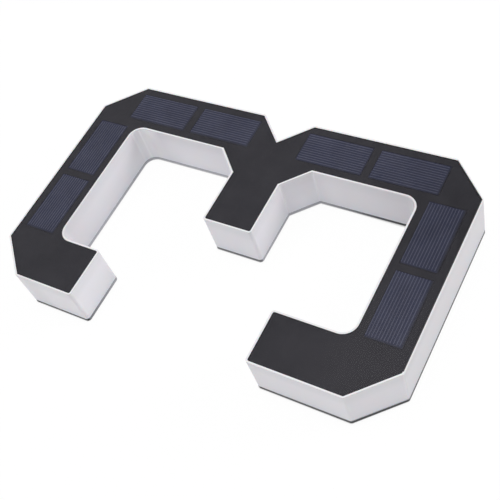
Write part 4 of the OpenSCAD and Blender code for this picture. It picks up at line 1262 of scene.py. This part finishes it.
# Fingers
# Twelve lines of silver paste, printed along each cell and fired. Each is a low ridge with
# sloping sides, a little uneven in tone.
FINGERS = 12
FINGER_PITCH = 1.56 * MM
FINGER_FOOT = 0.46 * MM
FINGER_TOP = 0.26 * MM
FINGER_HEIGHT = 0.03 * MM
FINGER_END = 0.7 * MM
PASTE_DARK, PASTE_LIGHT = (0.069, 0.075, 0.118), (0.086, 0.092, 0.137)
paste, tree, shader = start_material("finger_paste", Roughness=0.4, Specular_IOR_Level=0.25)
tone = mix_colours(tree, place_group(tree, mottle, Size=2.5 * MM), PASTE_DARK, PASTE_LIGHT)
tree.links.new(tone, shader.inputs["Base Color"])
sheen = place_group(tree, mottle, Size=0.8 * MM, Low=0.35, High=0.5)
tree.links.new(sheen, shader.inputs["Roughness"])
for cell, lay in CELLS.items():
    node = "solar_cell_" + cell
    low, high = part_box(node)
    size = high - low
    lay = Vector((*lay, 0)) * MM
    dress(node, silicon("silicon_" + cell, size, lay))
    soften(node, 0.05, rings=1)
    along, across = Vector((1, 0, 0)), Vector((0, 1, 0))
    if size.y > size.x:
        along, across = across, along
    middle = middle_of(low, high, high.z) + lay
    reach = max(size.x, size.y) / 2 - FINGER_END
    fingers = bmesh.new()
    for k in range(FINGERS):
        line = middle + across * (k - (FINGERS - 1) / 2) * FINGER_PITCH
        ends = []
        for way in (-1, 1):
            foot = line + along * way * reach
            top = line + along * way * (reach - FINGER_HEIGHT) + Vector((0, 0, FINGER_HEIGHT))
            corners = (
                foot - across * FINGER_FOOT / 2, top - across * FINGER_TOP / 2,
                top + across * FINGER_TOP / 2, foot + across * FINGER_FOOT / 2,
            )
            ends.append([fingers.verts.new(corner) for corner in corners])
        skin(fingers, ends)
    add_piece("fingers_" + cell, fingers, "housing", [], [paste])


# Front film
# A thin clear sheet bonded over the whole face inside the rim. It dims what lies under it, a little
# more in soft patches and at the other end of the foot, and lays a faint grey over the corner of
# the lower hook. The gloss of the face is in the panel and the cells.
FILM_GREY = (0.085, 0.08, 0.085)
FILM_GREY_MIDDLE, FILM_GREY_REACH = (-52, -104), (52, 34)  # at the corner of the lower hook
DIM_MIDDLE, DIM_REACH = (40, -102), (45, 45)  # at the other end of the foot
DIM_LEAST, DIM_MOST, DIM_SIZE = 0.02, 0.06, 12 * MM  # everywhere, in soft patches
DIM_MORE = 0.035
FULL_TO = 0.35  # share of their reach up to which both places are even
film, tree, shader = start_material("clear_film", Specular_IOR_Level=0.0, Roughness=0.35)
spot = put(tree, "TexCoord").outputs["Object"]
greyed = soft_patch(tree, spot, FILM_GREY_MIDDLE, FILM_GREY_REACH, 1.0, full=FULL_TO)
tree.links.new(mix_colours(tree, greyed, (0, 0, 0), FILM_GREY), shader.inputs["Base Color"])
dimmed = place_group(tree, mottle, Size=DIM_SIZE, Low=DIM_LEAST, High=DIM_MOST)
dimmest = soft_patch(tree, spot, DIM_MIDDLE, DIM_REACH, DIM_MORE, full=FULL_TO)
tree.links.new(calc(tree, "ADD", dimmed, dimmest), shader.inputs["Alpha"])
dress("front_film", film)


# Plate screws
# Ten blackened pan-head screws with a cross recess, driven from behind through the plate into
# the wall's bosses.
SCREW_CORE = 1.05 * MM
SCREW_CREST = 1.42 * MM
SCREW_PITCH = 1.1 * MM
HEAD_R = 2.8 * MM
HEAD_H = 1.4 * MM
HEAD_FLAT = 1.9 * MM  # radius of the flat round the recess
HEAD_SIDES = 36
THREAD_FROM, THREAD_TO = 0.6 * MM, 1.2 * MM  # from the head, and from the point
RECESS_REACH = 1.45 * MM
RECESS_HALF = 0.32 * MM
RECESS_DEPTH = 0.9 * MM
RECESS_TAPER = 0.55  # how far its arms reach at that depth, over their reach at the top
black_steel = metal("blackened_steel", (0.2, 0.2, 0.21), 0.38, worn=1.6)
screws = bmesh.new()
for low, high in solids_of("plate_screws"):
    middle = middle_of(low, high, low.z)
    long = high.z - low.z
    recess = []
    for reach, depth in ((RECESS_REACH, 0.0), (RECESS_REACH * RECESS_TAPER, RECESS_DEPTH)):
        arm = ((reach, -RECESS_HALF), (reach, RECESS_HALF), (RECESS_HALF, RECESS_HALF))
        recess.append([
            screws.verts.new(middle + Matrix.Rotation(turn, 3, "Z") @ Vector((x, y, depth)))
            for turn in [quarter * math.pi / 2 for quarter in range(4)]
            for x, y in arm
        ])
    skin(screws, recess, first=False)
    rim = [screws.verts.new(middle + Vector((x, y, 0.0))) for x, y in circle(HEAD_FLAT, HEAD_SIDES)]
    mouth = recess[0]
    loops = [screws.edges.new(pair) for pair in zip(rim, rim[1:] + rim[:1])]
    loops += [screws.edges.get(pair) for pair in zip(mouth, mouth[1:] + mouth[:1])]
    bmesh.ops.bridge_loops(screws, edges=loops)
    profile = [
        (HEAD_FLAT, 0.0), (2.35 * MM, 0.08 * MM), (2.65 * MM, 0.28 * MM),
        (HEAD_R, 0.6 * MM), (HEAD_R, HEAD_H),
        (SCREW_CORE + 0.2 * MM, HEAD_H), (SCREW_CORE, HEAD_H + 0.3 * MM),
        (SCREW_CORE, long - 1.6 * MM), (SCREW_CORE * 0.55, long - 0.3 * MM), (0, long),
    ]
    turn_profile(screws, profile, middle, sides=HEAD_SIDES)
    helix(
        screws, middle, SCREW_CORE - THREAD_SINK, SCREW_CREST, SCREW_PITCH,
        HEAD_H + THREAD_FROM, long - THREAD_TO, sides=16,
    )
bmesh.ops.remove_doubles(screws, verts=screws.verts, dist=TOUCHING)
add_piece(
    "cross_screws", screws, "housing", ["plate_screws"], [black_steel], crisp=35
)


# Floor
# A plain white table. The camera sees it almost as white as the picture's ground, with a trace
# of the sign's shadow. From below it isn't there, and it lets the room's light reach the back of
# the sign, which lies on it.
def plainly_seen(tree, path):
    """1 for what the camera sees, by itself or in a gloss or through glass, and 0 for the rest."""
    seen = calc(tree, "MAXIMUM", path["Is Camera Ray"], path["Is Glossy Ray"])
    return calc(tree, "MAXIMUM", seen, path["Is Transmission Ray"])


FLOOR_HALF = 3.0
FLOOR_DROP = 0.2 * MM
FLOOR_COLOUR = (0.95, 0.95, 0.95, 1)
UNDERSIDE_REACH = 3 * MM  # light that leaves the sign this close over the table passes through
WHITE_SHARE = 0.95
WHITE = 1.01
CONTACT_REACH = 0.6 * MM  # the dark line where the sign meets the table, on the hooks' side
CONTACT_SHADE = 0.9
CONTACT_WAY = (0.85, -0.45, 0.28)
WIDE_PLACE = (41.8 * MM, -84 * MM, 0)  # it is wider in the lower bay's far corner
WIDE_REACH = 35 * MM
WIDE_CONTACT = 1.3 * MM
floor_mesh = bpy.data.meshes.new("floor")
corners = [(x * FLOOR_HALF, y * FLOOR_HALF) for x, y in ((-1, -1), (1, -1), (1, 1), (-1, 1))]
floor_mesh.from_pydata([(x, y, -FLOOR_DROP) for x, y in corners], [], [(0, 1, 2, 3)])
floor = bpy.data.objects.new("floor", floor_mesh)
scene.collection.objects.link(floor)
table, tree, shader = start_material(
    "floor", Base_Color=FLOOR_COLOUR, Roughness=0.9, Specular_IOR_Level=0.0
)
path = put(tree, "LightPath").outputs
share = calc(tree, "MULTIPLY", plainly_seen(tree, path), WHITE_SHARE)
way = put(tree, "CombineXYZ", dict(enumerate(CONTACT_WAY))).outputs[0]
away = vector_calc(tree, "DISTANCE", put(tree, "TexCoord").outputs["Object"], WIDE_PLACE)
reach = fade(tree, away, 0.0, WIDE_REACH, WIDE_CONTACT, CONTACT_REACH)
contact = put(tree, "AmbientOcclusion", {"Distance": reach, "Normal": way}, samples=8).outputs["AO"]
level = fade(tree, contact, 0.0, 1.0, WHITE * (1 - CONTACT_SHADE), WHITE)
white = put(tree, "Emission", {"Color": (1, 1, 1, 1), "Strength": level}).outputs[0]
top = put(tree, "MixShader", {0: share, 1: shader.outputs[0], 2: white}).outputs[0]
clear = put(tree, "BsdfTransparent").outputs[0]
below = put(tree, "NewGeometry").outputs["Backfacing"]
close = calc(tree, "LESS_THAN", path["Ray Length"], UNDERSIDE_REACH)
light = calc(tree, "MAXIMUM", path["Is Diffuse Ray"], path["Is Shadow Ray"])
gone = calc(tree, "MAXIMUM", below, calc(tree, "MULTIPLY", close, light))
whole = put(tree, "MixShader", {0: gone, 1: top, 2: clear}).outputs[0]
tree.links.new(whole, tree.nodes["Material Output"].inputs["Surface"])
floor_mesh.materials.append(table)

# Light
# An even white room, as in a light tent, with one soft lamp overhead and two lower ones: beyond
# the figure's foot on its far side, and beyond its head on the hooks' side.
ROOM_LIGHT = 0.57
LAMPS = (  # name, place and side in metres, and watts
    ("overhead_lamp", (0.1, 0.3, 1.3), 1.0, 4.7),
    ("foot_lamp", (0.95, -1.2, 0.6), 0.8, 10.5),
    ("head_lamp", (-1.3, 0.85, 0.6), 0.8, 2.6),
)
room = bpy.data.worlds.new("room")
room.use_nodes = True
scene.world = room
tree = room.node_tree
ground = tree.nodes["Background"]
ground.inputs["Color"].default_value = (1, 1, 1, 1)
seen = plainly_seen(tree, put(tree, "LightPath").outputs)
tree.links.new(fade(tree, seen, 0.0, 1.0, ROOM_LIGHT, 1.0), ground.inputs["Strength"])
for name, place, side, watts in LAMPS:
    lamp = bpy.data.lights.new(name, "AREA")
    lamp.shape = "SQUARE"
    lamp.size = side
    lamp.energy = watts
    held = bpy.data.objects.new(name, lamp)
    held.location = place
    held.rotation_euler = (-Vector(place)).to_track_quat("-Z", "Y").to_euler()
    scene.collection.objects.link(held)
